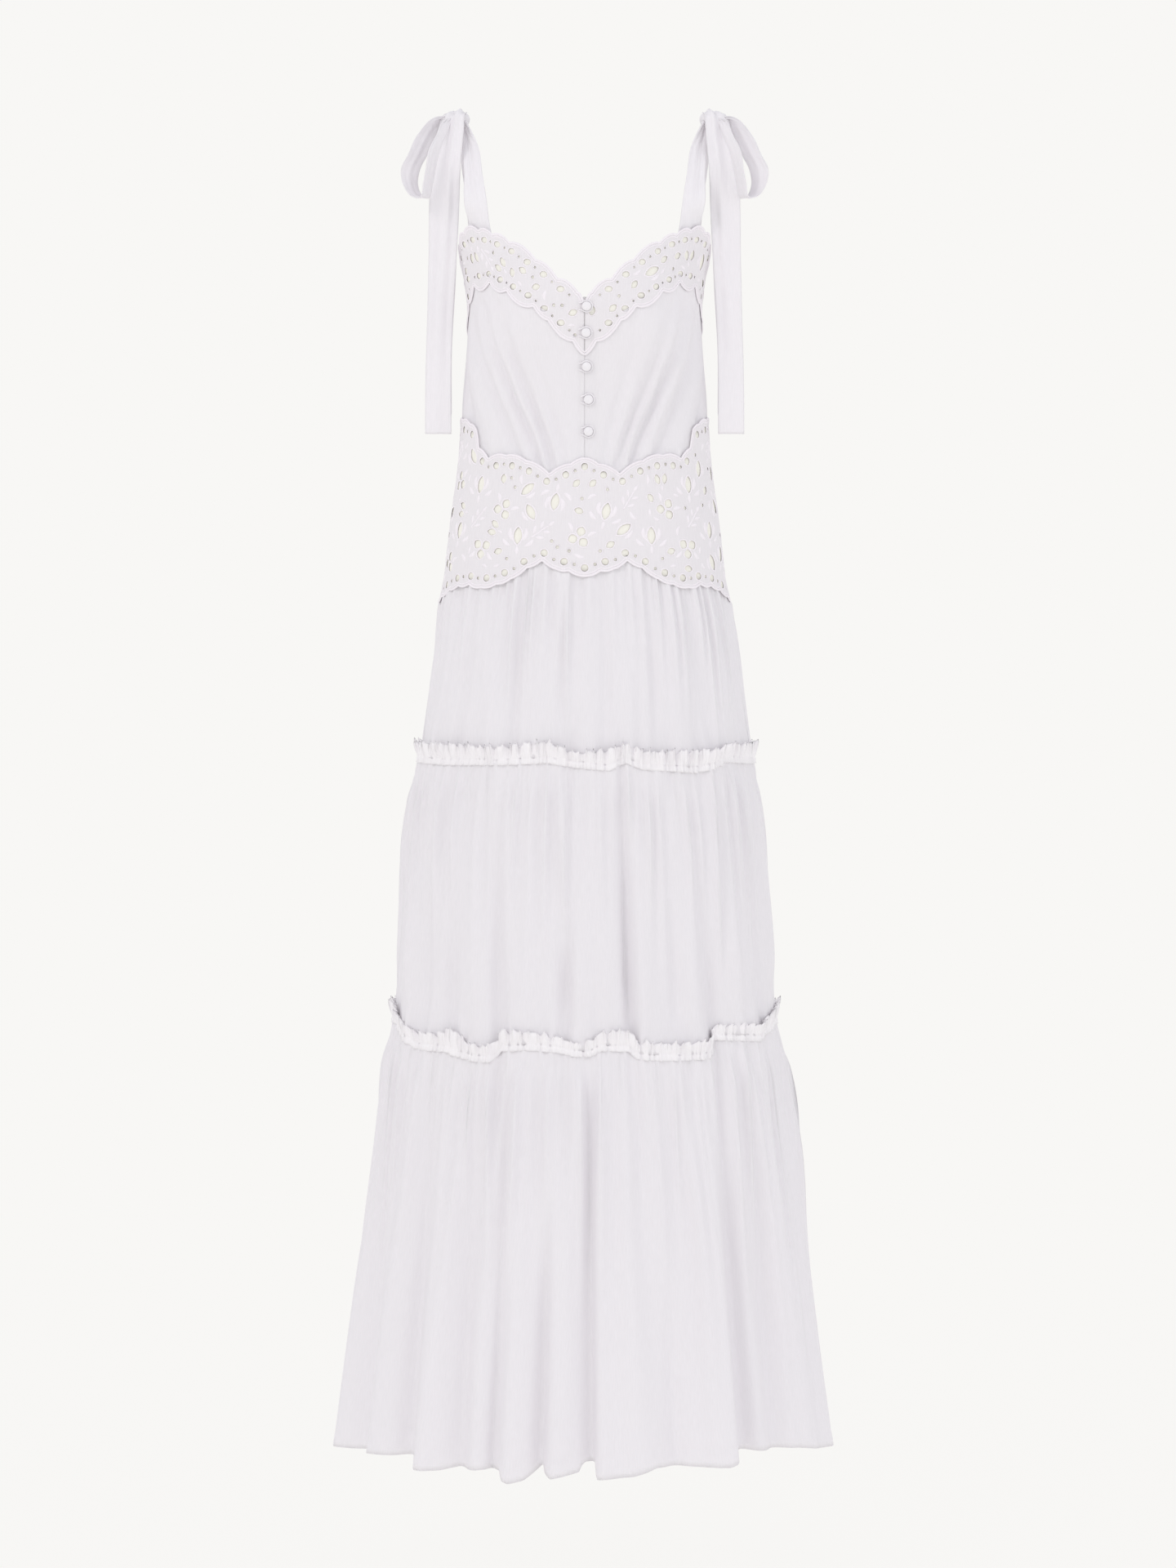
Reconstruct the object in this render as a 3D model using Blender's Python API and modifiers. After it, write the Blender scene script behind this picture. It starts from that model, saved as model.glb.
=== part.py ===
# White tiered maxi dress as worn: gathered bodice with tied shoulder straps, eyelet trim at the neck,
# eyelet waist panel and three skirt tiers with frilled headings.
# Metres, +Z up, the front faces -Y. The origin is midway between the two shoulder knots.
# Left and right are the wearer's, so left is +X.
import math
from collections import namedtuple

import bpy
from mathutils import Matrix, Vector

MM = 0.001
COLUMN = 7.5  # degrees from one column of cloth points to the next, shared by every layer
CLOTH = 1.0  # thickness of plain cloth
EYELET = 1.3  # thickness of embroidered cloth
RIBBON = 1.2  # thickness of a doubled tie
LAYER_GAP = 0.8  # from the plain cloth to what lies on it
SEAM_GAP = 0.6  # between two pieces that are sewn edge to edge

# The worn form in mm: height, half width at the side, depth to the front and to the back.
Section = namedtuple("Section", "height half_width front back")
SECTIONS = (
    Section(-88, 148, 84, 80),
    Section(-115, 143, 96, 86),
    Section(-130, 139, 101, 88),
    Section(-147, 135, 106, 90),
    Section(-165, 131, 109, 91),
    Section(-181, 128.5, 111, 92),
    Section(-201, 126.5, 112, 92),
    Section(-230, 127.5, 110, 92),
    Section(-265, 130, 104, 91),
    Section(-300, 133, 99, 90),
    Section(-336, 134.5, 97, 91),
    Section(-364, 136.5, 98, 92),
    Section(-390, 139.5, 100, 95),
    Section(-417, 143.5, 103, 100),
    Section(-470, 150, 109, 111),
    Section(-496, 153, 113, 117),
    Section(-523, 159, 117, 122),
    Section(-552, 164, 121, 127),
    Section(-604, 171, 127, 133),
    Section(-658, 177.5, 133, 138),
    Section(-690, 181.5, 136, 141),
    Section(-712, 185.5, 139, 144),
    Section(-752, 191, 143, 148),
    Section(-847, 198, 151, 156),
    Section(-902, 203, 156, 161),
    Section(-983, 210, 163, 168),
    Section(-1013, 215.5, 168, 172),
    Section(-1119, 229.5, 181, 185),
    Section(-1287, 250.5, 199, 203),
    Section(-1460, 271.5, 216, 220),
)

# Neck band: where its upper and lower scalloped edges run, from centre front (0) to centre back (180).
NeckEdge = namedtuple("NeckEdge", "angle upper lower")
NECK_BAND = (
    NeckEdge(0, -197, -256),
    NeckEdge(6, -179, -238),
    NeckEdge(12, -167, -232),
    NeckEdge(18, -155, -215),
    NeckEdge(24, -144, -202),
    NeckEdge(30, -134, -198),
    NeckEdge(36, -127, -185),
    NeckEdge(42, -122, -183),
    NeckEdge(48, -118, -174),
    NeckEdge(54, -116, -178),
    NeckEdge(60, -118, -175),
    NeckEdge(66, -121, -179),
    NeckEdge(72, -127, -190),
    NeckEdge(78, -138, -198),
    NeckEdge(84, -151, -212),
    NeckEdge(90, -162, -217),
    NeckEdge(102, -170, -231),
    NeckEdge(114, -177, -235),
    NeckEdge(126, -182, -245),
    NeckEdge(138, -186, -245),
    NeckEdge(150, -189, -253),
    NeckEdge(162, -191, -251),
    NeckEdge(180, -193, -257),
)
FACING_DROP = 4  # the facing starts this far below the upper edge of the neck band
BAND_LAP = 9  # the neck band lies over the bodice by this much

# Waist panel: its upper and lower edges in the same way, with a peak at each side seam.
PanelEdge = namedtuple("PanelEdge", "angle upper lower")
WAIST_PANEL = (
    PanelEdge(0, -362, -491),
    PanelEdge(6, -368, -482),
    PanelEdge(12, -377, -478),
    PanelEdge(18, -379, -471),
    PanelEdge(24, -371, -481),
    PanelEdge(30, -362, -492),
    PanelEdge(36, -359, -498),
    PanelEdge(42, -361, -502),
    PanelEdge(48, -362, -500),
    PanelEdge(54, -356, -497),
    PanelEdge(60, -346, -501),
    PanelEdge(66, -337, -504),
    PanelEdge(72, -330, -506),
    PanelEdge(78, -325, -511),
    PanelEdge(84, -323, -518),
    PanelEdge(90, -322, -523),
    PanelEdge(102, -327, -513),
    PanelEdge(114, -344, -504),
    PanelEdge(126, -361, -500),
    PanelEdge(138, -360, -500),
    PanelEdge(150, -366, -489),
    PanelEdge(162, -377, -473),
    PanelEdge(180, -364, -490),
)
BODICE_END = -389
TIER_1_START = -464

# Skirt levels. Each seam dips a little at the centre of the front and of the back.
SEAM_1, SEAM_1_DIP = -689, 1
SEAM_2, SEAM_2_DIP = -983, 8
HEM = -1453
FRILL_RISE = 16
FRILL_LEAN = 6
FRILL_WAVE = 2.2
FRILL_BAND = 7

# Folds of the bodice: the angle at the neck band and at the waist, the width in degrees and the depth.
BodiceFold = namedtuple("BodiceFold", "top foot width depth")
BODICE_FOLDS = (
    BodiceFold(30, 9, 5, 2.0),
    BodiceFold(42, 14, 6, 4.0),
    BodiceFold(54, 20, 6, 5.0),
    BodiceFold(66, 27, 6, 4.5),
    BodiceFold(78, 38, 7, 3.5),
    BodiceFold(-27, -9, 5, 2.0),
    BodiceFold(-39, -14, 6, 4.5),
    BodiceFold(-51, -19, 6, 4.5),
    BodiceFold(-64, -27, 6, 5.0),
    BodiceFold(-80, -40, 7, 3.0),
    BodiceFold(108, 126, 7, 2.5),
    BodiceFold(132, 146, 7, 3.5),
    BodiceFold(156, 164, 7, 3.0),
    BodiceFold(-110, -128, 7, 2.5),
    BodiceFold(-135, -148, 7, 3.5),
    BodiceFold(-158, -165, 7, 3.0),
    BodiceFold(180, 180, 6, 2.0),
)

# Folds of the skirt: tier, angle, width in degrees and depth at the foot of the tier, where a
# positive depth stands out and a negative one falls in.
SkirtFold = namedtuple("SkirtFold", "tier angle width depth")
SKIRT_FOLDS = (
    SkirtFold(1, -78, 5, -3.0),
    SkirtFold(1, -60, 5, -3.5),
    SkirtFold(1, -42, 5, -4.0),
    SkirtFold(1, -24, 5, -3.5),
    SkirtFold(1, -9, 4, -2.5),
    SkirtFold(1, 8, 4, -3.0),
    SkirtFold(1, 26, 5, -4.0),
    SkirtFold(1, 43, 5, -3.5),
    SkirtFold(1, 61, 5, -3.5),
    SkirtFold(1, 79, 5, -3.0),
    SkirtFold(1, 98, 5, -3.5),
    SkirtFold(1, 117, 5, -4.0),
    SkirtFold(1, 137, 6, -4.5),
    SkirtFold(1, 158, 6, -4.0),
    SkirtFold(1, 180, 6, -3.0),
    SkirtFold(1, -158, 6, -4.5),
    SkirtFold(1, -138, 6, -4.0),
    SkirtFold(1, -118, 5, -4.0),
    SkirtFold(1, -98, 5, -3.5),
    SkirtFold(2, -84, 6, -5.0),
    SkirtFold(2, -66, 7, 5.0),
    SkirtFold(2, -45, 7, -7.0),
    SkirtFold(2, -33, 6, 4.0),
    SkirtFold(2, -18, 7, -5.0),
    SkirtFold(2, -7, 6, -9.0),
    SkirtFold(2, 3, 6, 4.0),
    SkirtFold(2, 14, 6, -9.0),
    SkirtFold(2, 24, 6, 5.0),
    SkirtFold(2, 39, 7, -7.0),
    SkirtFold(2, 57, 7, 5.0),
    SkirtFold(2, 74, 7, -6.0),
    SkirtFold(2, 95, 8, 6.0),
    SkirtFold(2, 112, 7, -7.0),
    SkirtFold(2, 131, 8, 6.0),
    SkirtFold(2, 149, 7, -8.0),
    SkirtFold(2, 168, 8, 5.0),
    SkirtFold(2, -172, 7, -8.0),
    SkirtFold(2, -152, 8, 6.0),
    SkirtFold(2, -134, 7, -7.0),
    SkirtFold(2, -116, 8, 5.0),
    SkirtFold(2, -100, 7, -6.0),
    SkirtFold(3, -86, 8, 9.0),
    SkirtFold(3, -68, 8, -12.0),
    SkirtFold(3, -54, 7, 9.0),
    SkirtFold(3, -40, 7, -14.0),
    SkirtFold(3, -29, 6, 7.0),
    SkirtFold(3, -17, 6, -14.0),
    SkirtFold(3, -6, 6, 9.0),
    SkirtFold(3, 4, 6, -13.0),
    SkirtFold(3, 15, 7, 8.0),
    SkirtFold(3, 27, 7, 6.0),
    SkirtFold(3, 38, 6, -15.0),
    SkirtFold(3, 52, 8, 9.0),
    SkirtFold(3, 69, 8, -11.0),
    SkirtFold(3, 86, 8, 9.0),
    SkirtFold(3, 103, 8, -12.0),
    SkirtFold(3, 119, 8, 10.0),
    SkirtFold(3, 135, 8, -13.0),
    SkirtFold(3, 150, 7, 8.0),
    SkirtFold(3, 164, 7, -12.0),
    SkirtFold(3, 178, 8, 9.0),
    SkirtFold(3, -167, 7, -12.0),
    SkirtFold(3, -151, 8, 9.0),
    SkirtFold(3, -136, 8, -13.0),
    SkirtFold(3, -120, 8, 9.0),
    SkirtFold(3, -103, 8, -12.0),
)

# Shoulder ties, given for the wearer's left side and mirrored.
KNOT_AT = (136.5, 0, 3.5)
KNOT_RADII = (10.5, 9.0, 9.5)
TieRow = namedtuple("TieRow", "x y z half_width turn")  # turn: degrees of the width from X toward -Y
FRONT_STRAP = (
    TieRow(116.5, -55, -94, 13.0, -20),
    TieRow(120, -39, -57, 11.0, -25),
    TieRow(124, -17, -24, 8.5, -30),
)
BACK_STRAP = (
    TieRow(114, 65, -127, 12.5, 25),
    TieRow(120.5, 57, -78, 11.5, 25),
    TieRow(128, 38, -33, 9.0, 30),
)
FRONT_TAIL = (
    TieRow(143, -25, -21, 10.0, -8),
    TieRow(150, -27, -45, 16.0, -8),
    TieRow(152, -26, -93, 16.3, 6),
    TieRow(154, -27, -150, 15.2, -6),
    TieRow(156.5, -26, -205, 14.0, 7),
    TieRow(159, -26, -285, 14.0, -6),
    TieRow(159, -26, -337, 14.2, 4),
)
BACK_TAIL = (
    TieRow(142, 17, -23, 8.0, 12),
    TieRow(148, 23, -51, 12.5, 10),
    TieRow(151, 25, -108, 12.5, -6),
    TieRow(154, 26, -176, 12.5, 8),
    TieRow(158, 26, -245, 12.5, -6),
    TieRow(158.5, 26, -316, 12.5, 4),
)
FRONT_LOOP = (
    TieRow(158, -14, 2, 8.0, 60),
    TieRow(172, -21, -14, 10.0, 45),
    TieRow(181, -28, -35, 11.5, 42),
    TieRow(188, -32, -53, 12.5, 31),
    TieRow(187.8, -34, -69, 11.0, 46),
    TieRow(181, -36, -81, 11.0, 58),
    TieRow(173, -40, -83, 11.0, 64),
    TieRow(169, -42, -68, 11.0, 62),
    TieRow(166, -42, -52, 11.0, 62),
    TieRow(162.5, -39, -33, 10.5, 58),
    TieRow(155, -30, -15, 8.0, 55),
    TieRow(149, -20, 0, 6.0, 55),
)
BACK_LOOP = (
    TieRow(154.5, 22, 0, 7.0, 112),
    TieRow(159, 34, -12, 8.5, 135),
    TieRow(162, 46, -35, 9.5, 160),
    TieRow(162.5, 50, -57, 10.0, 170),
    TieRow(161.5, 46, -70, 10.0, 170),
    TieRow(161, 38, -66, 10.0, 168),
    TieRow(160, 35, -49, 9.5, 160),
    TieRow(157, 31, -29, 8.5, 140),
    TieRow(151.5, 22, -12, 6.0, 112),
)

# Covered buttons down the centre front, sewn to the left front beside the slit, each with a cord loop.
Button = namedtuple("Button", "across height")
BUTTONS = (
    Button(2.0, -201),
    Button(1.5, -229),
    Button(2.0, -265),
    Button(4.0, -300),
    Button(4.0, -334),
)
BUTTON_RADIUS = 5.0
BUTTON_RISE = 2.3
CORD_RADIUS = 0.8
STAND_FROM, STAND_TO = -8, 15  # the button stand behind the slit, across the centre front

COLOURS = {
    "voile": (0.86, 0.85, 0.87, 1),
    "eyelet": (0.93, 0.91, 0.93, 1),
    "facing": (0.90, 0.87, 0.78, 1),
    "tie": (0.84, 0.82, 0.86, 1),
    "frill": (0.95, 0.94, 0.96, 1),
    "button": (0.80, 0.80, 0.84, 1),
}


def clear_scene():
    for thing in list(bpy.data.objects):
        bpy.data.objects.remove(thing, do_unlink=True)


def blend(table, at, column):
    # A smooth curve through one column of a table whose first column is `at`, either way up.
    rows = sorted(table, key=lambda row: row[0])
    if at <= rows[0][0]:
        return rows[0][column]
    if at >= rows[-1][0]:
        return rows[-1][column]
    last = next(i for i in range(1, len(rows)) if rows[i][0] >= at)
    first = last - 1

    def slope(i):
        low, high = max(i - 1, 0), min(i + 1, len(rows) - 1)
        return (rows[high][column] - rows[low][column]) / (rows[high][0] - rows[low][0])

    span = rows[last][0] - rows[first][0]
    t = (at - rows[first][0]) / span
    start, end = rows[first][column], rows[last][column]
    return (
        start * (2 * t**3 - 3 * t**2 + 1)
        + slope(first) * span * (t**3 - 2 * t**2 + t)
        + end * (3 * t**2 - 2 * t**3)
        + slope(last) * span * (t**3 - t**2)
    )


def edge_at(table, angle, column):
    # Straight from row to row, so that each scallop keeps its corner.
    turned = abs((angle + 180) % 360 - 180)
    for low, high in zip(table, table[1:]):
        if turned <= high.angle:
            t = (turned - low.angle) / (high.angle - low.angle)
            return low[column] + (high[column] - low[column]) * t
    return table[-1][column]


def bell(offset, width):
    return math.exp(-((offset / width) ** 2))


def angle_between(a, b):
    return (a - b + 180) % 360 - 180


def form_point(angle, height, out=0.0):
    # A point of the worn form, moved out along the horizontal normal.
    half_width = blend(SECTIONS, height, 1)
    sine, cosine = math.sin(math.radians(angle)), math.cos(math.radians(angle))
    depth = blend(SECTIONS, height, 2 if cosine > 0 else 3)
    normal = Vector((sine / half_width, -cosine / depth, 0)).normalized()
    bust = 9 * bell(abs(angle_between(angle, 0)) - 37, 19) * bell(height + 214, 50)
    return Vector((half_width * sine, -depth * cosine, height)) + normal * (out + bust)


def bodice_fold(angle, share):
    # The folds only fall in, so the neck band and the waist panel lie clear on top.
    fade = math.sin(math.pi * (0.12 + 0.8 * share))
    return -fade * sum(
        fold.depth * bell(angle_between(angle, fold.top + (fold.foot - fold.top) * share), fold.width)
        for fold in BODICE_FOLDS
    )


def skirt_fold(tier, angle, share):
    total = sum(
        fold.depth * bell(angle_between(angle, fold.angle), fold.width)
        for fold in SKIRT_FOLDS
        if fold.tier == tier
    )
    if tier == 1:
        return total * math.sin(math.pi * (0.1 + 0.8 * share))
    if tier == 2:
        # Under the lower frill the cloth only falls in.
        total *= math.sin(math.pi * 0.94 * share)
        return min(total, 0) if share > 0.9 else total
    return total * share**0.8


def seam_height(level, dip, angle):
    return level - dip * math.cos(math.radians(2 * angle))


def columns(start, end):
    # Angles from one edge to the other: each edge held back from its seam, with the shared columns between.
    inside = [k * COLUMN for k in range(-24, 49) if start + 0.5 < k * COLUMN < end - 0.5]
    back = math.degrees(SEAM_GAP / 2 / 120)
    return [start + back, *inside, end - back]


def in_collection(thing):
    name = "White maxi dress"
    group = bpy.data.collections.get(name)
    if group is None:
        group = bpy.data.collections.new(name)
        bpy.context.scene.collection.children.link(group)
    for other in list(thing.users_collection):
        other.objects.unlink(thing)
    group.objects.link(thing)


def give_material(thing, name, colour):
    material = bpy.data.materials.new(name + "_cloth")
    material.use_nodes = True
    shader = material.node_tree.nodes["Principled BSDF"]
    shader.inputs["Base Color"].default_value = COLOURS[colour]
    shader.inputs["Roughness"].default_value = 0.9
    thing.data.materials.clear()
    thing.data.materials.append(material)


def cloth(name, grid, thickness, side, colour, angles=()):
    # An open sheet through the rows of the grid, given its thickness outward (+1), inward (-1) or both ways (0).
    # Every layer splits its faces the same way, mirrored at the centre, so that layers lie evenly.
    across = len(grid[0])
    points = [point * MM for row in grid for point in row]
    faces = []
    for i in range(len(grid) - 1):
        for j in range(across - 1):
            a = i * across + j
            b, c, d = a + across, a + across + 1, a + 1
            if angles and math.sin(math.radians(angles[j] + angles[j + 1]) / 2) < 0:
                faces += [(a, b, d), (b, c, d)]
            else:
                faces += [(a, b, c), (a, c, d)]
    mesh = bpy.data.meshes.new(name)
    mesh.from_pydata(points, [], faces)
    thing = bpy.data.objects.new(name, mesh)
    bpy.context.scene.collection.objects.link(thing)
    wall = thing.modifiers.new("wall", "SOLIDIFY")
    wall.thickness = thickness * MM
    wall.offset = side
    give_material(thing, name, colour)
    in_collection(thing)
    return thing


def form_sheet(name, angles, top, foot, rows, thickness, side, colour, out=0.0, fold=None):
    # A sheet on the worn form between two heights that may change with the angle.
    grid = []
    for i in range(rows + 1):
        share = i / rows
        row = []
        for angle in angles:
            height = top(angle) + (foot(angle) - top(angle)) * share
            row.append(form_point(angle, height, out + (fold(angle, share) if fold else 0)))
        grid.append(row)
    return cloth(name, grid, thickness, side, colour, angles)


def band_upper(angle):
    return edge_at(NECK_BAND, angle, 1)


def band_lower(angle):
    return edge_at(NECK_BAND, angle, 2)


def band_middle(angle):
    return (band_upper(angle) + band_lower(angle)) / 2


def facing_upper(angle):
    return band_upper(angle) - FACING_DROP


def facing_lower(angle):
    return band_lower(angle) + BAND_LAP + SEAM_GAP


def make_bodice():
    parts = (("bodice_front_left", 0, 90), ("bodice_front_right", -90, 0), ("bodice_back", 90, 270))
    for name, start, end in parts:
        angles = columns(start, end)
        form_sheet(
            name, angles, lambda a: band_lower(a) + BAND_LAP, lambda a: BODICE_END,
            6, CLOTH, -1, "voile", fold=bodice_fold,
        )
        facing = name.replace("bodice", "neck_facing")
        rows = []
        for height in (facing_upper, band_middle, facing_lower):
            rows.append([form_point(a, height(a)) for a in angles])
        cloth(facing, rows, CLOTH, -1, "facing", angles)
        band = name.replace("bodice", "neck_band")
        form_sheet(band, angles, band_upper, band_lower, 2, EYELET, 1, "eyelet", out=LAYER_GAP)


def make_waist():
    for half, start, end in (("front", -90, 90), ("back", 90, 270)):
        angles = columns(start, end)
        form_sheet(
            "waist_backing_" + half, angles, lambda a: BODICE_END - SEAM_GAP,
            lambda a: TIER_1_START + SEAM_GAP, 2, CLOTH, -1, "facing",
        )
        form_sheet(
            "waist_panel_" + half, angles, lambda a: edge_at(WAIST_PANEL, a, 1),
            lambda a: edge_at(WAIST_PANEL, a, 2), 3, EYELET, 1, "eyelet", out=LAYER_GAP,
        )


def make_skirt():
    first = lambda a: seam_height(SEAM_1, SEAM_1_DIP, a)
    second = lambda a: seam_height(SEAM_2, SEAM_2_DIP, a)
    tiers = (
        (1, lambda a: TIER_1_START, lambda a: first(a) + SEAM_GAP, 4),
        (2, first, lambda a: second(a) + SEAM_GAP, 4),
        (3, second, lambda a: HEM, 6),
    )
    for half, start, end in (("front", -90, 90), ("back", 90, 270)):
        angles = columns(start, end)
        for tier, top, foot, rows in tiers:
            form_sheet(
                f"skirt_tier_{tier}_{half}", angles, top, foot, rows, CLOTH, -1, "voile",
                fold=lambda a, share, tier=tier: skirt_fold(tier, a, share),
            )
        for number, seam in ((1, first), (2, second)):
            make_frill(f"frill_{number}_{half}", angles, seam)


def make_frill(name, angles, seam):
    # A short band on the seam, then a heading that leans out and waves.
    rise = {0: -FRILL_BAND, 1: 1.0, 2: FRILL_RISE}
    lean = {0: 0.6, 1: 1.4, 2: FRILL_LEAN}
    grid = []
    for step in (2, 1, 0):
        row = []
        for j, angle in enumerate(angles):
            wave = FRILL_WAVE * (-1) ** j if step == 2 else 0
            row.append(form_point(angle, seam(angle) + rise[step] + 0.3 * wave, lean[step] + wave))
        grid.append(row)
    cloth(name, grid, CLOTH, 1, "frill", angles)


def knot_row(direction, half_width, turn):
    return tie_row(on_knot(direction, 0.5), half_width, turn, direction)


def on_knot(direction, gap):
    # A point just off the surface of the knot, in this direction from its centre.
    unit = Vector(direction).normalized()
    return Vector(KNOT_AT) + Vector(r * u for r, u in zip(KNOT_RADII, unit)) * (1 + gap / 9.5)


def tie_row(centre, half_width, turn, away=None):
    # Three points across a tie. Where it leaves the knot, they lie square to the way it goes.
    across = Vector((math.cos(math.radians(turn)), -math.sin(math.radians(turn)), 0))
    if away:
        unit = Vector(away).normalized()
        across = (across - unit * across.dot(unit)).normalized()
    return [Vector(centre) + across * half_width * step for step in (-1, 0, 1)]


def mirrored(grid, side):
    return [[Vector((side * p.x, p.y, p.z)) for p in row] for row in grid]


def make_ties():
    for side, word in ((1, "left"), (-1, "right")):
        strap = [[form_point(a, height, -CLOTH - RIBBON / 2 - 0.7) for a in (46, 54, 62)] for height in (-142, -130)]
        strap.append([form_point(a, -109, -2) for a in (46, 54, 61)])
        strap += [tie_row(row[:3], row.half_width, row.turn) for row in FRONT_STRAP]
        strap.append(knot_row((-0.75, -0.5, -0.45), 3.5, -50))
        cloth("front_strap_" + word, mirrored(strap, side), RIBBON, 0, "tie")

        strap = [[form_point(a, height, -CLOTH - RIBBON / 2 - 1.3) for a in (136, 128, 120)] for height in (-201, -188)]
        strap += [tie_row(row[:3], row.half_width, row.turn) for row in BACK_STRAP]
        strap.append(knot_row((-0.65, 0.7, -0.3), 3.5, 45))
        cloth("back_strap_" + word, mirrored(strap, side), RIBBON, 0, "tie")

        tails = (
            ("front_tail_", FRONT_TAIL, (0.15, -0.8, -0.6), -20),
            ("back_tail_", BACK_TAIL, (0.15, 0.75, -0.65), 20),
        )
        for name, rows, direction, turn in tails:
            tail = [knot_row(direction, 4.0, turn)]
            tail += [tie_row(row[:3], row.half_width, row.turn) for row in rows]
            cloth(name + word, mirrored(tail, side), RIBBON, 0, "tie")

        loops = (
            ("front_loop_", FRONT_LOOP, (0.85, -0.35, 0.3), (0.5, -0.8, 0.3), 58),
            ("back_loop_", BACK_LOOP, (0.8, 0.6, 0.15), (0.55, 0.62, -0.56), 114),
        )
        for name, rows, leave, arrive, turn in loops:
            loop = [knot_row(leave, 3.5, turn)]
            loop += [tie_row(row[:3], row.half_width, row.turn) for row in rows]
            loop.append(knot_row(arrive, 3.0, turn))
            cloth(name + word, mirrored(loop, side), RIBBON, 0, "tie")

        bpy.ops.mesh.primitive_uv_sphere_add(segments=12, ring_count=8, radius=1)
        knot = bpy.context.object
        knot.name = "knot_" + word
        knot.data.transform(Matrix.Diagonal([r * MM for r in KNOT_RADII] + [1]))
        knot.location = Vector((side * KNOT_AT[0], KNOT_AT[1], KNOT_AT[2])) * MM
        give_material(knot, knot.name, "tie")
        in_collection(knot)


def front_at(across, height, out):
    # The point of the front that far across, moved out from the form.
    half_width = blend(SECTIONS, height, 1)
    return form_point(math.degrees(math.asin(across / half_width)), height, out)


def make_closure():
    stand = []
    foot = BODICE_END + 8
    for i in range(8):
        height = -202 + (foot + 202) * i / 7
        stand.append([front_at(x, height, -CLOTH - 0.8) for x in (STAND_FROM, 0, STAND_TO)])
    cloth("button_stand", stand, CLOTH, -1, "facing")

    for number, button in enumerate(BUTTONS, 1):
        # The first two buttons sit on the neck band, the others on the plain cloth of the bodice.
        on_band = button.height > band_lower(0)
        base = (LAYER_GAP + EYELET if on_band else 0) + 0.4
        centre = front_at(button.across, button.height, base + BUTTON_RISE)
        bpy.ops.mesh.primitive_uv_sphere_add(segments=12, ring_count=6, radius=1)
        dome = bpy.context.object
        dome.name = f"button_{number}"
        dome.data.transform(Matrix.Diagonal([BUTTON_RADIUS * MM, BUTTON_RADIUS * MM, BUTTON_RISE * MM, 1]))
        dome.data.transform(Matrix.Rotation(math.pi / 2, 4, "X"))
        dome.location = centre * MM
        give_material(dome, dome.name, "button")
        in_collection(dome)

        # The cord leaves the right front, goes round the button close to the cloth and comes back.
        curve = bpy.data.curves.new(f"button_loop_{number}", "CURVE")
        curve.dimensions = "3D"
        curve.bevel_depth = CORD_RADIUS * MM
        curve.bevel_resolution = 1
        curve.use_fill_caps = True
        line = curve.splines.new("POLY")
        reach = BUTTON_RADIUS + CORD_RADIUS + 0.4
        turns = [k * 30 for k in range(-4, 5)]
        path = [(button.across + reach * math.cos(math.radians(t)),
                 button.height + reach * math.sin(math.radians(t))) for t in turns]
        line.points.add(len(path) - 1)
        for point, (x, z) in zip(line.points, path):
            spot = front_at(x, z, base + CORD_RADIUS + 0.3) * MM
            point.co = (*spot, 1)
        cord = bpy.data.objects.new(curve.name, curve)
        bpy.context.scene.collection.objects.link(cord)
        give_material(cord, cord.name, "button")
        in_collection(cord)


clear_scene()
make_bodice()
make_waist()
make_skirt()
make_ties()
make_closure()
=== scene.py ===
import math

import bpy
import numpy as np
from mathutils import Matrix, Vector
from mathutils.geometry import delaunay_2d_cdt


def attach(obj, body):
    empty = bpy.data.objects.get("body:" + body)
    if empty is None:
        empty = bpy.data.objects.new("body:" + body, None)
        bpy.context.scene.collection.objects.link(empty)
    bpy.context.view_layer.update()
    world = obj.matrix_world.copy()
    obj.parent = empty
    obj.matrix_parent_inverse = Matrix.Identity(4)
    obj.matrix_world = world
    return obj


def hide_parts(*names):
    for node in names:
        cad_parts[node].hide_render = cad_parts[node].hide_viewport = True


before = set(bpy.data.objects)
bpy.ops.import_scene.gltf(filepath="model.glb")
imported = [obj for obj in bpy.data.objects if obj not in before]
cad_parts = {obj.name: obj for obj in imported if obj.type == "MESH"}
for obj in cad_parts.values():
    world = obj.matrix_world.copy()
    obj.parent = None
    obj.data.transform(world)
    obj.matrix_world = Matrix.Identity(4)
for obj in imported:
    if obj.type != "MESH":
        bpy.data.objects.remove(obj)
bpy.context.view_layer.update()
mm = 0.001

# The worn form, in mm: height, half width, depth to the front and depth to the back.
sections = (
    (-88, 148, 84, 80), (-115, 143, 96, 86), (-130, 139, 101, 88), (-147, 135, 106, 90),
    (-165, 131, 109, 91), (-181, 128.5, 111, 92), (-201, 126.5, 112, 92), (-230, 127.5, 110, 92),
    (-265, 130, 104, 91), (-300, 133, 99, 90), (-336, 134.5, 97, 91), (-364, 136.5, 98, 92),
    (-390, 139.5, 100, 95), (-417, 143.5, 103, 100), (-470, 150, 109, 111), (-496, 153, 113, 117),
    (-523, 159, 117, 122), (-552, 164, 121, 127), (-604, 171, 127, 133), (-658, 177.5, 133, 138),
    (-690, 181.5, 136, 141), (-712, 185.5, 139, 144), (-752, 191, 143, 148), (-847, 198, 151, 156),
    (-902, 203, 156, 161), (-983, 210, 163, 168), (-1013, 215.5, 168, 172), (-1119, 229.5, 181, 185),
    (-1287, 250.5, 199, 203), (-1460, 271.5, 216, 220),
)

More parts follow.
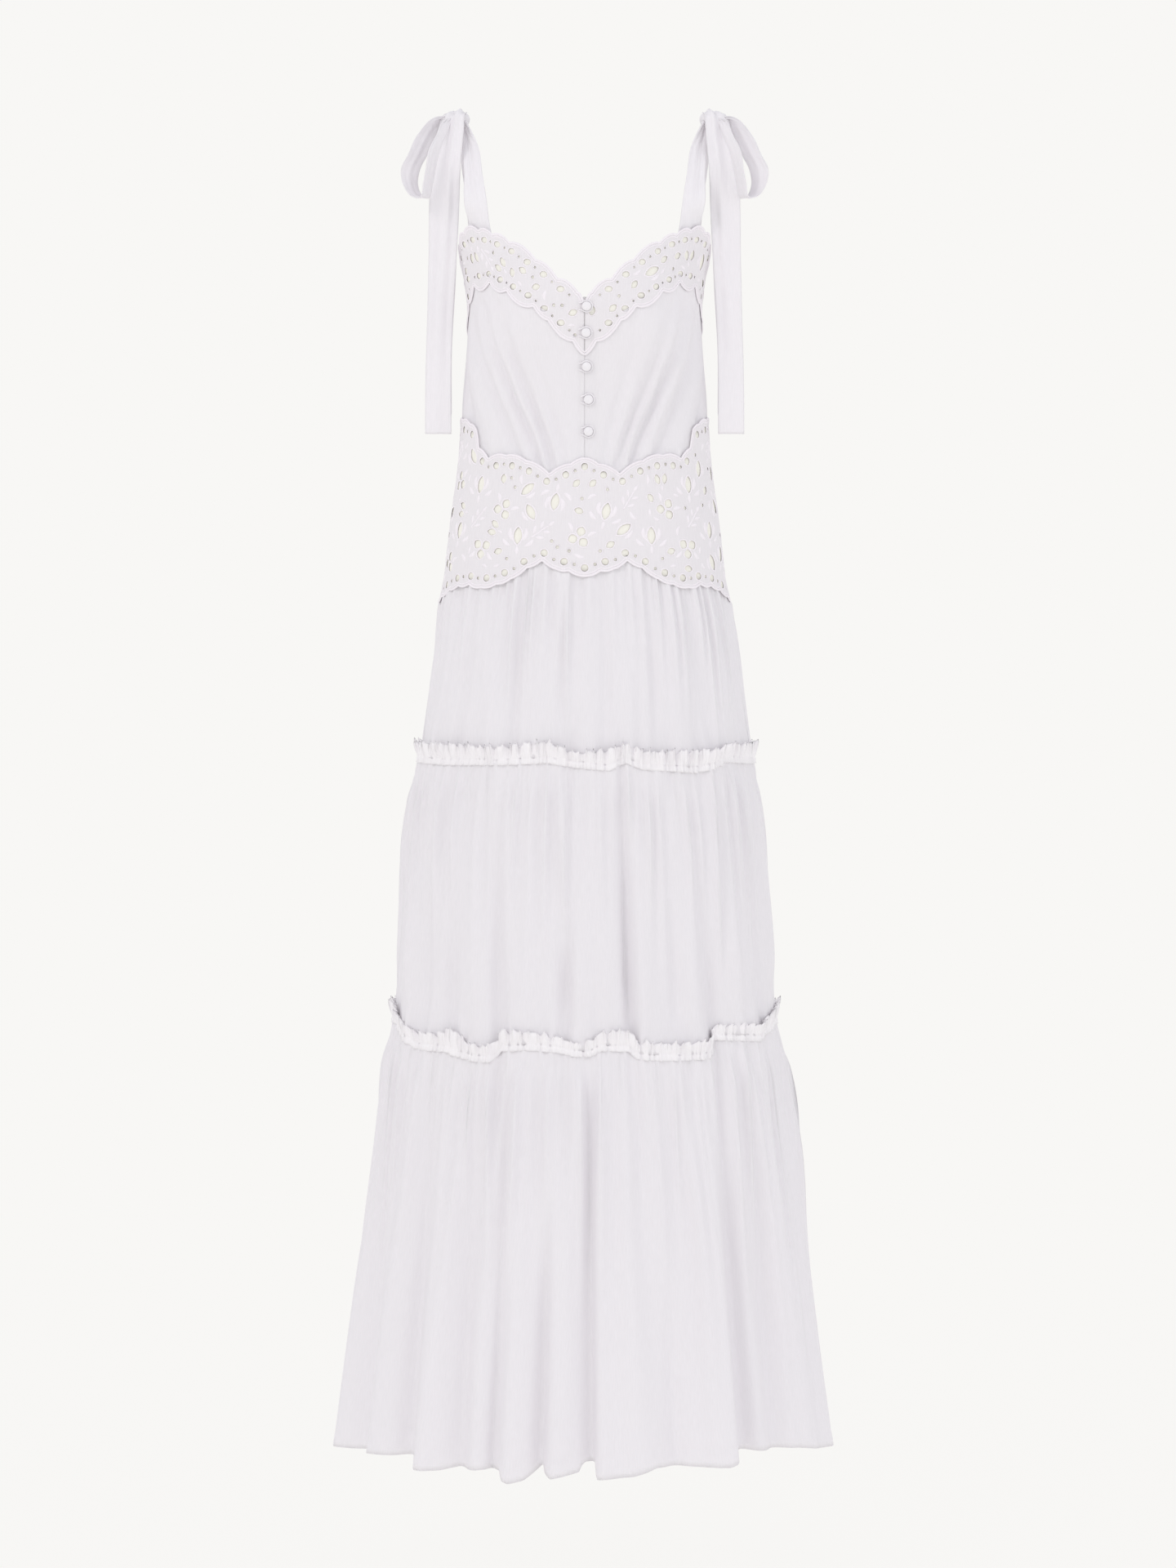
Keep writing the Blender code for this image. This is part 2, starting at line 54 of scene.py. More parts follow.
def smoothTable(rows, at):
    # A smooth curve through rows of (position, value, ...), one column per value.
    table = np.array(sorted(rows), float)
    x = table[:, 0]
    slopes = np.gradient(table[:, 1:], x, axis=0)
    at = np.clip(np.asarray(at, float), x[0], x[-1])
    i = np.clip(np.searchsorted(x, at, side="right") - 1, 0, len(x) - 2)
    span = (x[i + 1] - x[i])[..., None]
    t = ((at - x[i])[..., None]) / span
    a, b = table[i, 1:], table[i + 1, 1:]
    return (
        a * (2 * t**3 - 3 * t**2 + 1)
        + slopes[i] * span * (t**3 - 2 * t**2 + t)
        + b * (3 * t**2 - 2 * t**3)
        + slopes[i + 1] * span * (t**3 - t**2)
    )

levels = np.arange(-1500.0, -60.0, 1.0)
levelShapes = smoothTable(sections, levels)

def bell(x):
    return np.exp(-np.square(x))

def turned(a):
    return (np.asarray(a, float) + 180) % 360 - 180

def smoothStep(x):
    x = np.clip(x, 0, 1)
    return x * x * (3 - 2 * x)

def formPoint(angle, height, out=0.0, along=0.0):
    # Points of the worn form in metres, moved out from it and sideways along it (both in mm).
    angle, height, out, along = np.broadcast_arrays(
        *[np.asarray(v, float) for v in (angle, height, out, along)]
    )
    half, front, back = [np.interp(height, levels, levelShapes[:, k]) for k in range(3)]
    angle = angle + np.degrees(along / (0.5 * (half + front)))
    sine, cosine = np.sin(np.radians(angle)), np.cos(np.radians(angle))
    depth = np.where(cosine > 0, front, back)
    normalX, normalY = sine / half, -cosine / depth
    length = np.hypot(normalX, normalY)
    bust = 9 * bell((np.abs(turned(angle)) - 37) / 19) * bell((height + 214) / 50)
    reach = out + bust
    x = half * sine + reach * normalX / length
    y = -depth * cosine + reach * normalY / length
    return np.stack([x, y, height], -1) * mm

# Materials.
def srgb(code):
    parts = [int(code[i : i + 2], 16) / 255 for i in (1, 3, 5)]
    return [p / 12.92 if p <= 0.04045 else ((p + 0.055) / 1.055) ** 2.4 for p in parts] + [1]

def addNode(tree, kind, values=None, links=None, **settings):
    node = tree.nodes.new("ShaderNode" + kind)
    for key, value in settings.items():
        setattr(node, key, value)
    for key, value in (values or {}).items():
        node.inputs[key].default_value = value
    for key, socket in (links or {}).items():
        tree.links.new(socket, node.inputs[key])
    return node

def threadScale(period):
    # Blender's Wave texture repeats every 2 pi / 20 units at a scale of 1.
    return 2 * math.pi / 20 / period

def clothMaterial(name, look):
    material = bpy.data.materials.new(name)
    material.use_nodes = True
    tree = material.node_tree
    tree.nodes.clear()
    if look["layout"] == "cut":
        place = addNode(tree, "UVMap", uv_map="cut").outputs["UV"]
    else:
        place = addNode(tree, "TexCoord").outputs["Object"]
    warp = addNode(
        tree, "TexWave", {"Scale": threadScale(look["thread"]), "Distortion": 1.2, "Detail": 1.0},
        {"Vector": place}, wave_type="BANDS", bands_direction="X",
    )
    weft = addNode(
        tree, "TexWave", {"Scale": threadScale(look["thread"] * 1.1), "Distortion": 1.2, "Detail": 1.0},
        {"Vector": place}, wave_type="BANDS", bands_direction="Y" if look["layout"] == "cut" else "Z",
    )
    weave = addNode(tree, "Math", links={0: warp.outputs["Fac"], 1: weft.outputs["Fac"]},
        operation="MAXIMUM")
    stretched = addNode(tree, "Mapping", {"Scale": look["slubScale"]}, {"Vector": place})
    slub = addNode(tree, "TexNoise", {"Scale": 1.0, "Detail": 3.0, "Roughness": 0.6},
        {"Vector": stretched.outputs[0]})
    crumple = addNode(
        tree, "TexNoise", {"Scale": 1 / look["crumple"], "Detail": 4.0, "Roughness": 0.55},
        {"Vector": place}
    )
    tone = addNode(tree, "ValToRGB", links={"Fac": slub.outputs["Fac"]})
    tone.color_ramp.elements[0].position, tone.color_ramp.elements[1].position = 0.3, 0.7
    tone.color_ramp.elements[0].color = srgb(look["dark"])
    tone.color_ramp.elements[1].color = srgb(look["light"])
    fine = addNode(
        tree, "Bump", {"Strength": look["weaveDepth"], "Distance": look["thread"] * 0.5},
        {"Height": weave.outputs[0]},
    )
    broad = addNode(
        tree, "Bump", {"Strength": look["crumpleDepth"], "Distance": 0.001},
        {"Height": crumple.outputs["Fac"], "Normal": fine.outputs[0]},
    )
    shader = addNode(
        tree, "BsdfPrincipled", {"Roughness": look["roughness"], "Sheen Weight": look["sheen"],
            "Sheen Roughness": 0.5},
        {"Base Color": tone.outputs["Color"], "Normal": broad.outputs[0]},
    )
    shader.inputs["Specular IOR Level"].default_value = 0.25
    end = shader.outputs[0]
    if look["through"]:
        lit = addNode(tree, "BsdfTranslucent", links={"Color": tone.outputs["Color"],
            "Normal": broad.outputs[0]})
        mixed = addNode(tree, "MixShader", {0: look["through"]}, {1: end, 2: lit.outputs[0]})
        end = mixed.outputs[0]
    addNode(tree, "OutputMaterial", links={"Surface": end})
    return material

voileLook = {
    "layout": "cut", "thread": 0.0004, "weaveDepth": 0.25, "slubScale": (900, 70, 1), "crumple": 0.014,
    "crumpleDepth": 0.35, "dark": "#F8F5F8", "light": "#FDFAFD", "roughness": 0.9, "sheen": 0.08,
    "through": 0.16,
}
# Fine plain-weave cotton voile, soft and slightly sheer.
voileMaterial = clothMaterial("cottonVoile", voileLook)
# The same cloth gathered into frills, with its colour painted a little darker than the voile as painted
# shade, to offset the extra light on the frill, which faces up and out.
frillShadedMaterial = clothMaterial("cottonFrill", {**voileLook, "dark": "#F5F2F4", "light": "#FBF8FA",
    "through": 0.0})
# Cotton folded double into ties.
tieMaterial = clothMaterial("cottonTie", {**voileLook, "through": 0.12, "crumple": 0.009,
    "crumpleDepth": 0.3})
# Closer-woven cotton that carries the embroidery.
eyeletMaterial = clothMaterial(
    "embroideredCotton", {**voileLook, "through": 0.0, "dark": "#EAE6E9", "light": "#EFEBEE",
        "thread": 0.0005, "crumple": 0.02, "crumpleDepth": 0.15}
)
# Glossy embroidery thread in satin stitch, seen as close ridges.
satinMaterial = clothMaterial(
    "satinStitchThread",
    {**voileLook, "through": 0, "thread": 0.0007, "weaveDepth": 0.3, "dark": "#F5EFF4", "light": "#FAF5F9",
     "roughness": 0.55, "sheen": 0.2, "crumpleDepth": 0.05},
)
# Ivory cotton behind the eyelets and the slit.
facingMaterial = clothMaterial(
    "ivoryCotton", {**voileLook, "through": 0, "dark": "#F5F2E8", "light": "#F9F7EF", "sheen": 0.0}
)
# Voile stretched over button forms and rolled into cord loops.
buttonMaterial = clothMaterial(
    "coveredButtonCotton", {**voileLook, "layout": "object", "slubScale": (300, 300, 300), "through": 0,
        "sheen": 0.1,
     "dark": "#EFECEF", "light": "#F5F2F5"}
)

# Building sheets.
def gridObject(name, points, material, uv=None, thickness=0.0, side=0.0):
    rows, across = points.shape[:2]
    mesh = bpy.data.meshes.new(name)
    index = np.arange(rows * across).reshape(rows, across)
    faces = np.stack([index[:-1, :-1], index[1:, :-1], index[1:, 1:], index[:-1, 1:]], -1).reshape(-1, 4)
    mesh.from_pydata(points.reshape(-1, 3).tolist(), [], faces.tolist())
    if uv is None:
        uv = cutCoordinates(points)
    layer = mesh.uv_layers.new(name="cut")
    layer.data.foreach_set("uv", uv.reshape(-1, 2)[faces.reshape(-1)].astype(np.float32).ravel())
    mesh.materials.append(material)
    mesh.polygons.foreach_set("use_smooth", np.ones(len(faces), bool))
    thing = bpy.data.objects.new(name, mesh)
    bpy.context.scene.collection.objects.link(thing)
    if thickness:
        wall = thing.modifiers.new("wall", "SOLIDIFY")
        wall.thickness = thickness * mm
        wall.offset = side
    return thing

def cutCoordinates(points):
    # Lengths along the sheet in metres, measured on the middle row and column.
    across = np.linalg.norm(np.diff(points[len(points) // 2], axis=0), axis=1)
    down = np.linalg.norm(np.diff(points[:, points.shape[1] // 2], axis=0), axis=1)
    u = np.concatenate([[0], np.cumsum(across)])
    v = np.concatenate([[0], np.cumsum(down)])
    return np.stack(np.meshgrid(u, v), -1)

def place(piece, node, slot):
    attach(piece, "root")
    for one in [node] if isinstance(node, str) else node:
        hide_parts(one)

halves = {"front": (-90, 90), "back": (90, 270)}

def angleRange(start, end, count, gap=0.01):
    return np.linspace(start + gap, end - gap, count)

# Gathers: many small folds that start at a seam and die out at different lengths.
def gathers(angle, down, spec):
    rng = np.random.default_rng(spec["seed"])
    n = spec["count"]
    centres = -180 + 360 * (np.arange(n) + rng.uniform(-0.42, 0.42, n)) / n
    widths = spec["width"] * rng.uniform(0.6, 1.5, n)
    depths = spec["depth"] * rng.uniform(0.25, 1.4, n)
    reaches = rng.uniform(*spec["reach"], n)
    leans = rng.normal(0, spec.get("lean", 0.0), n)
    out = np.zeros(np.broadcast(angle, down).shape)
    for c, w, d, r, lean in zip(centres, widths, depths, reaches, leans):
        fade = smoothStep(down / spec["rise"]) * (1 - smoothStep((down - 0.25 * r) / (0.75 * r)))
        off = turned(angle - c - lean * down / 100)
        wide = w * (1 + spec["spread"] * down / r)
        out += d * fade * (bell(off / wide) - wide * 1.77 / 360)
    return out

def mainFolds(rows, angle, share):
    # Folds given one by one: angle at the foot, drift from the top, width, depth, overlap sideways, start.
    out = np.zeros(np.broadcast(angle, share).shape)
    along = np.zeros_like(out)
    for foot, drift, width, depth, lap, start in rows:
        grow = smoothStep((share - start) / 0.6) * (0.4 + 0.6 * share)
        at = turned(angle - foot + drift * (1 - share))
        shape = bell(at / (width * (0.75 + 0.35 * share)))
        out += depth * grow * shape
        along += lap * grow * shape
    return out, along

def tableAt(rows, angle):
    # Straight-line rows of (angle, value) round the whole dress.
    table = np.array(sorted(rows), float)
    return np.interp(turned(angle), table[:, 0], table[:, 1], period=360)

# How far each tier seam hangs below its level, as (angle, mm).
seamDrops = {
    1: ((-86, 0), (-74, -2), (-57, -1), (-30, -2), (-12, -4), (-7, -1), (-3, 1), (8, 4), (12, -2),
        (14, -4), (20, 3),
        (26, 4), (41, 7), (50, 2), (56, -4), (80, 0), (110, 3), (130, -2), (160, 3), (185, -1), (215, 3),
        (240, -2)),
    2: ((-88, -1), (-74, 7), (-59, 16), (-46, 12), (-35, 16), (-28, 14), (-25, 1), (-17, -3), (-8, -2),
        (-3, 2),
        (2, 2), (5, -4), (13, -2), (15, 6), (22, 10), (36, 15), (40, 14), (43, -2), (55, 5), (63, 10),
        (78, 4),
        (90, 0), (105, 6), (125, 10), (140, 2), (160, 9), (172, 2), (190, 8), (210, 1), (230, 9), (250, 4)),
}
frillRises = {
    1: ((-85, 13), (-60, 17), (-30, 14), (-12, 18), (-3, 10), (2, 14), (8, 17), (14, 15), (26, 15),
        (41, 18), (56, 13),
        (90, 16), (130, 14), (170, 17), (210, 14), (240, 16)),
    2: ((-85, 15), (-59, 12), (-47, 13), (-45, 21), (-40, 21), (-37, 13), (-30, 12), (-24, 17), (-10, 12),
        (-2, 8),
        (4, 14), (12, 18), (15, 14), (25, 13), (40, 14), (43, 10), (70, 13), (90, 16), (130, 13), (170, 16),
        (210, 13), (240, 16)),
}
seamLevels = {1: (-687.5, -2.5), 2: (-983, 8)}

def seamHeight(number, angle):
    level, dip = seamLevels[number]
    return level - dip * np.cos(np.radians(2 * angle)) - tableAt(seamDrops[number], angle)

# Folds at each seam, shared by the tier above it, the frill and the tier below it: (angle, mm out).
def seamOut(number, angle):
    rng = np.random.default_rng(40 + number)
    total = np.zeros(np.shape(angle))
    for waves, size in ((9, 1.5), (17, 1.3), (31, 1.0), (57, 0.7)):
        total += size * np.sin(np.radians(waves * angle) + rng.uniform(0, 6.28))
    deep = ((-26, 2.2, -6), (14.6, 1.8, -6), (42, 2.0, -7), (-6, 2.5, -4), (3.5, 1.6, -4),
        (-45, 3, -3)) if number == 2 else (
        (-5, 2.0, -3), (12, 1.6, -3), (30, 2, -2), (-34, 2, -2))
    for at, width, size in deep:
        total += size * bell(turned(angle - at) / width)
    return total

print("stage: form and materials ready")

# Scalloped edges: (angle, height) of each corner between two lobes, from the front to the back.
neckUpper = ((0, -198), (3.2, -186), (12.6, -172), (22.5, -151.5), (35, -132.5), (44, -123.5),
    (53, -118.5), (66, -121), (76, -132),
             (85, -151), (94, -164), (107, -172), (120, -179), (133, -185), (146, -188), (160, -191),
             (174, -193), (188, -193))
neckLower = ((0, -253), (5.7, -238), (17.5, -216), (24.6, -201), (38.5, -184), (50, -174.5), (66, -177.5),
    (78, -196),
             (90, -216), (104, -229), (118, -237), (132, -243), (146, -248), (160, -251), (173, -254),
             (187, -254))
waistUpper = ((0, -362), (6.3, -368.5), (15.8, -379), (27, -365), (38, -359.5), (49, -363), (56.5, -352),
    (59.5, -332), (66, -326),
              (78, -322), (90, -324), (102, -322), (114, -328), (118, -350), (122, -356), (131, -362),
              (142, -359), (153, -366), (164, -378),
              (174, -368), (186, -368))
waistLower = ((0, -489), (6.5, -483), (12, -481), (17.6, -472), (24, -480), (31, -492), (38, -498),
    (46, -502),
              (54, -499), (62, -501), (70, -506), (80, -514), (90, -521), (100, -514), (110, -506),
              (118, -501),
              (126, -499), (134, -502), (142, -498), (149, -492), (156, -480), (162.4, -472), (168, -481),
              (173.5, -483),
              (186.5, -483))
lobes = {"neckUpper": 6.0, "neckLower": -6.0, "waistUpper": 3.4, "waistLower": -3.2}

def scallop(corners, bulge, angle):
    # Straight between corners, plus one round lobe for each; the back mirrors as the front does.
    a = np.abs(turned(angle))
    table = np.array(corners, float)
    i = np.clip(np.searchsorted(table[:, 0], a, side="right") - 1, 0, len(table) - 2)
    low, high = table[i], table[i + 1]
    t = np.clip((a - low[:, 0]) / (high[:, 0] - low[:, 0]), 0, 1)
    size = np.clip((high[:, 0] - low[:, 0]) / 12, 0.5, 1.25)
    return low[:, 1] + (high[:, 1] - low[:, 1]) * t + bulge * size * np.sin(np.pi * t) ** 0.75

bandUpper = lambda a: scallop(neckUpper, lobes["neckUpper"], np.atleast_1d(a))
bandLower = lambda a: scallop(neckLower, lobes["neckLower"], np.atleast_1d(a))
panelUpper = lambda a: scallop(waistUpper, lobes["waistUpper"], np.atleast_1d(a))
panelLower = lambda a: scallop(waistLower, lobes["waistLower"], np.atleast_1d(a))

# Skirt tiers.
tiers = {
    1: {
        "top": lambda a: np.full_like(a, -464.0), "foot": lambda a: seamHeight(1, a), "rows": 40,
        "columns": 280,
        "cut": {"front": (0.52, 0.235), "back": (0.54, 0.235)},
        "gathers": (
            {"seed": 11, "count": 150, "width": 0.7, "depth": 2.0, "reach": (50, 150), "rise": 14,
                "spread": 0.5, "lean": 0.3},
            {"seed": 12, "count": 74, "width": 1.2, "depth": 6.0, "reach": (90, 260), "rise": 40,
                "spread": 0.7, "lean": 0.4},
        ),
        "folds": (
            (-80, -4, 4, -5, 0, 0.05), (-66, -5, 3, 4, 2, 0.05), (-52, -5, 3.2, -5, 0, 0.05),
            (-38, -4, 3, 5, 2, 0.1), (-27, -3, 2.6, -5, 0, 0.05), (-18, -2, 2.6, 4, -1, 0.1),
            (-9, -1, 2.2, -5, 0, 0.0), (0, 0, 2.6, 3, 1, 0.1), (8, 1, 2.2, -5, 0, 0.0),
            (17, 2, 2.8, 4, 1, 0.1), (27, 3, 2.6, -6, 0, 0.0), (38, 4, 3, 5, -2, 0.1),
            (50, 5, 3.2, -5, 0, 0.05), (64, 5, 3, 4, -2, 0.05), (78, 4, 4, -5, 0, 0.05),
            (96, 3, 4, 4, 0, 0.05), (112, 3, 3.5, -6, 0, 0.0), (128, 3, 3.2, 5, 2, 0.0),
            (143, 2, 3, -6, 0, 0.0), (158, 1, 3, 5, 1, 0.0), (173, 0, 3, -6, 0, 0.0),
            (188, 0, 3, 5, -1, 0.0), (203, -1, 3, -6, 0, 0.0), (218, -2, 3, 5, -2, 0.0),
            (233, -3, 3.2, -6, 0, 0.0), (248, -3, 4, 5, 0, 0.0), (262, -3, 4, -5, 0, 0.0),
        ),
        "fade": lambda s: np.sin(np.pi * np.clip(0.04 + 0.83 * s, 0, 1)),
    },
    2: {
        "top": lambda a: seamHeight(1, a), "foot": lambda a: seamHeight(2, a), "rows": 44, "columns": 300,
        "cut": {"front": (0.68, 0.31), "back": (0.68, 0.31)},
        "gathers": (
            {"seed": 21, "count": 190, "width": 0.6, "depth": 1.6, "reach": (40, 140), "rise": 12,
                "spread": 0.8, "lean": 0.3},
            {"seed": 22, "count": 84, "width": 1.1, "depth": 7.5, "reach": (110, 330), "rise": 55,
                "spread": 0.8, "lean": 0.5},
        ),
        "folds": (
            (-84, 2, 4, -8, 0, 0.1), (-70, 2, 4, 8, 3, 0.1), (-57, 2, 3.5, -7, 0, 0.1),
            (-44, 3, 3.2, -9, -2, 0.25), (-36, 2, 3, 6, 2, 0.2), (-27, 1, 2.4, -11, -3, 0.1),
            (-18, 0, 3, 5, 0, 0.2), (-6.5, -1, 2.2, -15, 3, 0.25), (-1, 0, 3, 6, -2, 0.15),
            (6, 0, 3, 5, 0, 0.2), (14.2, 1.5, 2.0, -17, -3, -0.1), (19, 2, 3, 7, -3, 0.1),
            (29, 1, 2.4, -9, 0, 0.3), (35, 1, 3, 5, 0, 0.2), (41, 2, 2.6, -11, 3, 0.1),
            (53, 2, 4, 8, 0, 0.1), (68, 2, 3.5, -8, 0, 0.1), (82, 2, 4, 7, 0, 0.1),
            (98, 2, 4, -9, 0, 0.1), (113, 1, 4, 9, 3, 0.1), (127, 1, 3.2, -10, 0, 0.0),
            (141, 0, 4, 8, -2, 0.1), (155, 0, 3, -11, 0, 0.1), (169, 0, 4, 8, 0, 0.1),
            (184, 0, 3, -11, 2, 0.0), (199, 0, 4, 9, 0, 0.1), (214, -1, 3.2, -10, 0, 0.1),
            (229, -1, 4, 8, -3, 0.1), (245, -2, 3.5, -9, 0, 0.0), (260, -2, 4, 8, 0, 0.1),
        ),
        "fade": lambda s: 1 - 0.75 * smoothStep((s - 0.72) / 0.28),
    },
    3: {
        "top": lambda a: seamHeight(2, a), "foot": None, "rows": 64, "columns": 320,
        "cut": {"front": (0.95, 0.48), "back": (0.95, 0.48)},
        "gathers": (
            {"seed": 31, "count": 210, "width": 0.55, "depth": 1.6, "reach": (40, 150), "rise": 12,
                "spread": 0.8, "lean": 0.3},
            {"seed": 32, "count": 90, "width": 1.0, "depth": 7.5, "reach": (120, 420), "rise": 60,
                "spread": 1.0, "lean": 0.5},
            {"seed": 33, "count": 34, "width": 1.9, "depth": 8.0, "reach": (300, 900), "rise": 160,
                "spread": 1.0, "lean": 0.5},
        ),
        "folds": (
            (-82, 1, 5, 10, 0, 0.05), (-69, 1, 5, -18, 0, 0.0), (-57, 1, 5, 7, -4, 0.1),
            (-46, 2, 3.4, -15, -4, 0.0), (-39, 1, 3.2, 11, -4, 0.1), (-31, 1, 2.6, -12, 0, 0.05),
            (-26, 1, 2.2, 7, 0, 0.2), (-21, 0, 1.5, -9, -4, -0.05), (-16.5, 0, 2.6, 10, -5, 0.05),
            (-10.6, -1, 1.7, -14, 1, 0.0), (-6.2, 0, 2.4, 11, -3, 0.1), (1.0, 0.5, 1.7, -11, 3, -0.1),
            (5.4, 0.5, 2.6, 11, -6, -0.1), (14, 1, 3.4, 7, 0, 0.2), (22, 0, 2.6, -10, 0, 0.2),
            (33.5, 0.5, 3.2, 12, 6, 0.0), (41.5, 1, 3.2, -20, 4, -0.05), (54, 1, 5, -16, 0, 0.1),
            (66, 1, 5, 8, 0, 0.1), (80, 1, 5, 8, 0, 0.1), (94, 1, 5, -15, 0, 0.05),
            (107, 1, 5, 13, 4, 0.05), (120, 0, 4, -20, 0, 0.0), (133, 0, 5, 12, -4, 0.1),
            (146, 0, 4, -22, 3, 0.0), (159, 0, 5, 12, 0, 0.1), (172, 0, 4, -20, 0, 0.0),
            (186, 0, 5, 13, 4, 0.1), (199, 0, 4, -24, -4, 0.0), (212, 0, 5, 12, 0, 0.1),
            (226, -1, 4, -20, 0, 0.0), (240, -1, 5, 12, -4, 0.1), (255, -1, 5, -16, 0, 0.0),
        ),
        "fade": lambda s: np.ones_like(s),
    },
}
hemLevels = (
    (-90, -1454), (-73, -1448), (-56, -1440), (-43.5, -1436), (-41, -1446), (-35, -1445), (-31, -1441),
    (-22, -1439), (-18.6, -1439), (-18.2, -1448), (-16, -1451), (-13.5, -1448), (-9.9, -1432),
    (-9.3, -1440), (-7, -1444), (-1.2, -1438), (-0.7, -1429), (2.8, -1428), (3.2, -1445), (10.6, -1442),
    (16.5, -1435), (24, -1437), (32.5, -1439), (36.6, -1434), (37.2, -1428), (48, -1432), (60, -1436),
    (73, -1446), (90, -1454), (110, -1450), (126, -1444), (140, -1452), (158, -1445), (170, -1449),
    (188, -1443), (200, -1453), (216, -1446), (230, -1450), (250, -1446),
)

def tierSheet(number, half):
    spec = tiers[number]
    start, end = halves[half]
    angle = angleRange(start, end, spec["columns"])[None, :]
    share = np.linspace(0, 1, spec["rows"])[:, None]
    share = np.where(share < 0.5, 2 * share**2 * 0.6 + 0.4 * share, share) if number > 1 else share
    top = spec["top"](angle)
    foot = spec["foot"](angle) if spec["foot"] else tableAt(hemLevels, angle)
    height = top + (foot - top) * share
    down = (top - foot) * share
    out = sum(gathers(angle, down, one) for one in spec["gathers"])
    if number == 1:
        out = out * (1 - 0.6 * smoothStep((share - 0.8) / 0.2))
    fade = spec["fade"](share)
    foldOut, along = mainFolds(spec["folds"], angle, share)
    out = out + foldOut * fade
    along = along * fade
    if number > 1:
        out += seamOut(number - 1, angle) * (1 - smoothStep(share / 0.35))
    if number < 3:
        out += seamOut(number, angle) * smoothStep((share - 0.6) / 0.4)
    if number == 1:
        under = smoothStep((height - panelLower(angle[0])[None, :] + 2) / 7)
        out = (np.minimum(out, 0.2 + 14 * share) - 0.9) * (1 - under) - 0.6 * under
    if number == 3:
        # A narrow turned hem with its line of stitches.
        fromHem = (top - foot) * (1 - share)
        out += 0.5 * (1 - smoothStep((fromHem - 9) / 3)) - 0.5 * bell((fromHem - 11) / 1.6)
    points = formPoint(angle, height, out, along)
    piece = gridObject(f"skirtTier{number}{half.title()}", points, voileMaterial, thickness=0.7, side=-1)
    place(piece, f"skirt_tier_{number}_{half}", "voile")

for number in tiers:
    for half in halves:
        tierSheet(number, half)
print("stage: skirt tiers")

# Frills: the gathered headings over the tier seams.
frillSpec = {"columns": 560, "below": 6.5, "lean": 3.2, "waves": ((260, 1.1), (150, 1.5), (83, 1.6)),
    "rows": 11}

def frill(number, half):
    start, end = halves[half]
    angle = angleRange(start, end, frillSpec["columns"])[None, :]
    rng = np.random.default_rng(70 + number)
    rise = tableAt(frillRises[number], angle)
    share = np.linspace(0, 1, frillSpec["rows"])[:, None]
    up = -frillSpec["below"] + share * (rise + frillSpec["below"])
    head = smoothStep((up + 1) / 14)
    wander = sum(
        size * np.sin(np.radians(n * angle) + rng.uniform(0, 6.28)) for n,
        size in ((7, 1.6), (13, 1.4), (23, 1.0))
    )
    ruffle = np.zeros_like(up + angle)
    for count, size in frillSpec["waves"]:
        bend = 26 * np.sin(np.radians(5 * angle) + rng.uniform(0, 6.28)) + 11 * np.sin(
            np.radians(17 * angle) + rng.uniform(0, 6.28)
        )
        strength = 0.45 + 0.75 * np.abs(np.sin(np.radians(19 * angle) + rng.uniform(0, 6.28)))
        ruffle += size * strength * np.sin(np.radians(count * angle + bend))
    tight = np.sin(np.radians(250 * angle) + 2 * np.sin(np.radians(31 * angle)))
    out = 1.6 + head * (frillSpec["lean"] + 0.5 * wander + 1.3 * ruffle)
    out = out + (1 - head) * (0.5 * ruffle + 0.5 * tight)
    out = out - 1.1 * bell((up - 0.5) / 1.2) - 0.8 * bell((up + 4.6) / 0.8)
    out += seamOut(number, angle) * 0.9
    height = seamHeight(number, angle) + up + head * 1.1 * ruffle * share
    along = head * 1.2 * np.cos(np.radians(150 * angle))
    points = formPoint(angle, height, out, along)
    piece = gridObject(f"frill{number}{half.title()}", points, frillShadedMaterial, thickness=0.6, side=1)
    place(piece, f"frill_{number}_{half}", "frill")

for number in (1, 2):
    for half in halves:
        frill(number, half)
print("stage: frills")

# Bodice: plain cloth with folds fanning up from the waist gathers to the bust.
# Fold rows: angle at the neck band, angle at the waist, width at each end, depth, where it is deepest.
bodiceFolds = (
    (-30, -8, 4.5, 1.7, -3.0, 0.7), (-40, -11, 4.0, 1.5, 2.0, 0.75), (-47, -14, 5.0, 1.8, -6.5, 0.6),
    (-56, -17, 4.2, 1.6, 3.0, 0.65), (-62, -20, 4.5, 1.8, -6.0, 0.6), (-72, -25, 5.0, 2.2, 2.5, 0.6),
    (-80, -31, 5.0, 2.6, -5.0, 0.55), (-94, -44, 6.0, 3.5, 2.5, 0.6), (-102, -60, 6.0, 4.0, -4.0, 0.6),
    (28, 7, 4.5, 1.7, -3.0, 0.7), (39, 11, 4.2, 1.5, 2.0, 0.75), (47, 14.5, 4.8, 1.8, -6.0, 0.6),
    (55, 18, 4.2, 1.6, 3.0, 0.65), (63, 21, 4.6, 1.9, -7.0, 0.6), (73, 27, 5.0, 2.3, 3.0, 0.6),
    (82, 34, 5.0, 2.6, -5.5, 0.55), (95, 46, 6.0, 3.5, 2.5, 0.6), (104, 62, 6.0, 4.0, -4.0, 0.6),
    (118, 122, 6.0, 3.0, -4.0, 0.6), (133, 134, 5.0, 2.5, 2.5, 0.6), (147, 146, 5.0, 2.5, -5.0, 0.6),
    (163, 158, 5.0, 2.5, 2.5, 0.6), (177, 172, 5.0, 2.5, -4.5, 0.6), (192, 186, 5.0, 2.5, 3.0, 0.6),
    (206, 200, 5.0, 2.5, -5.0, 0.6), (222, 216, 5.0, 2.5, 2.5, 0.6), (236, 231, 6.0, 3.0, -4.0, 0.6),
)
bodiceGathers = {"seed": 51, "count": 150, "width": 0.8, "depth": 1.0, "reach": (18, 70), "rise": 6,
    "spread": 0.6, "lean": 0.0}
bodiceParts = (("FrontLeft", "front_left", 0, 90), ("FrontRight", "front_right", -90, 0),
    ("Back", "back", 90, 270))

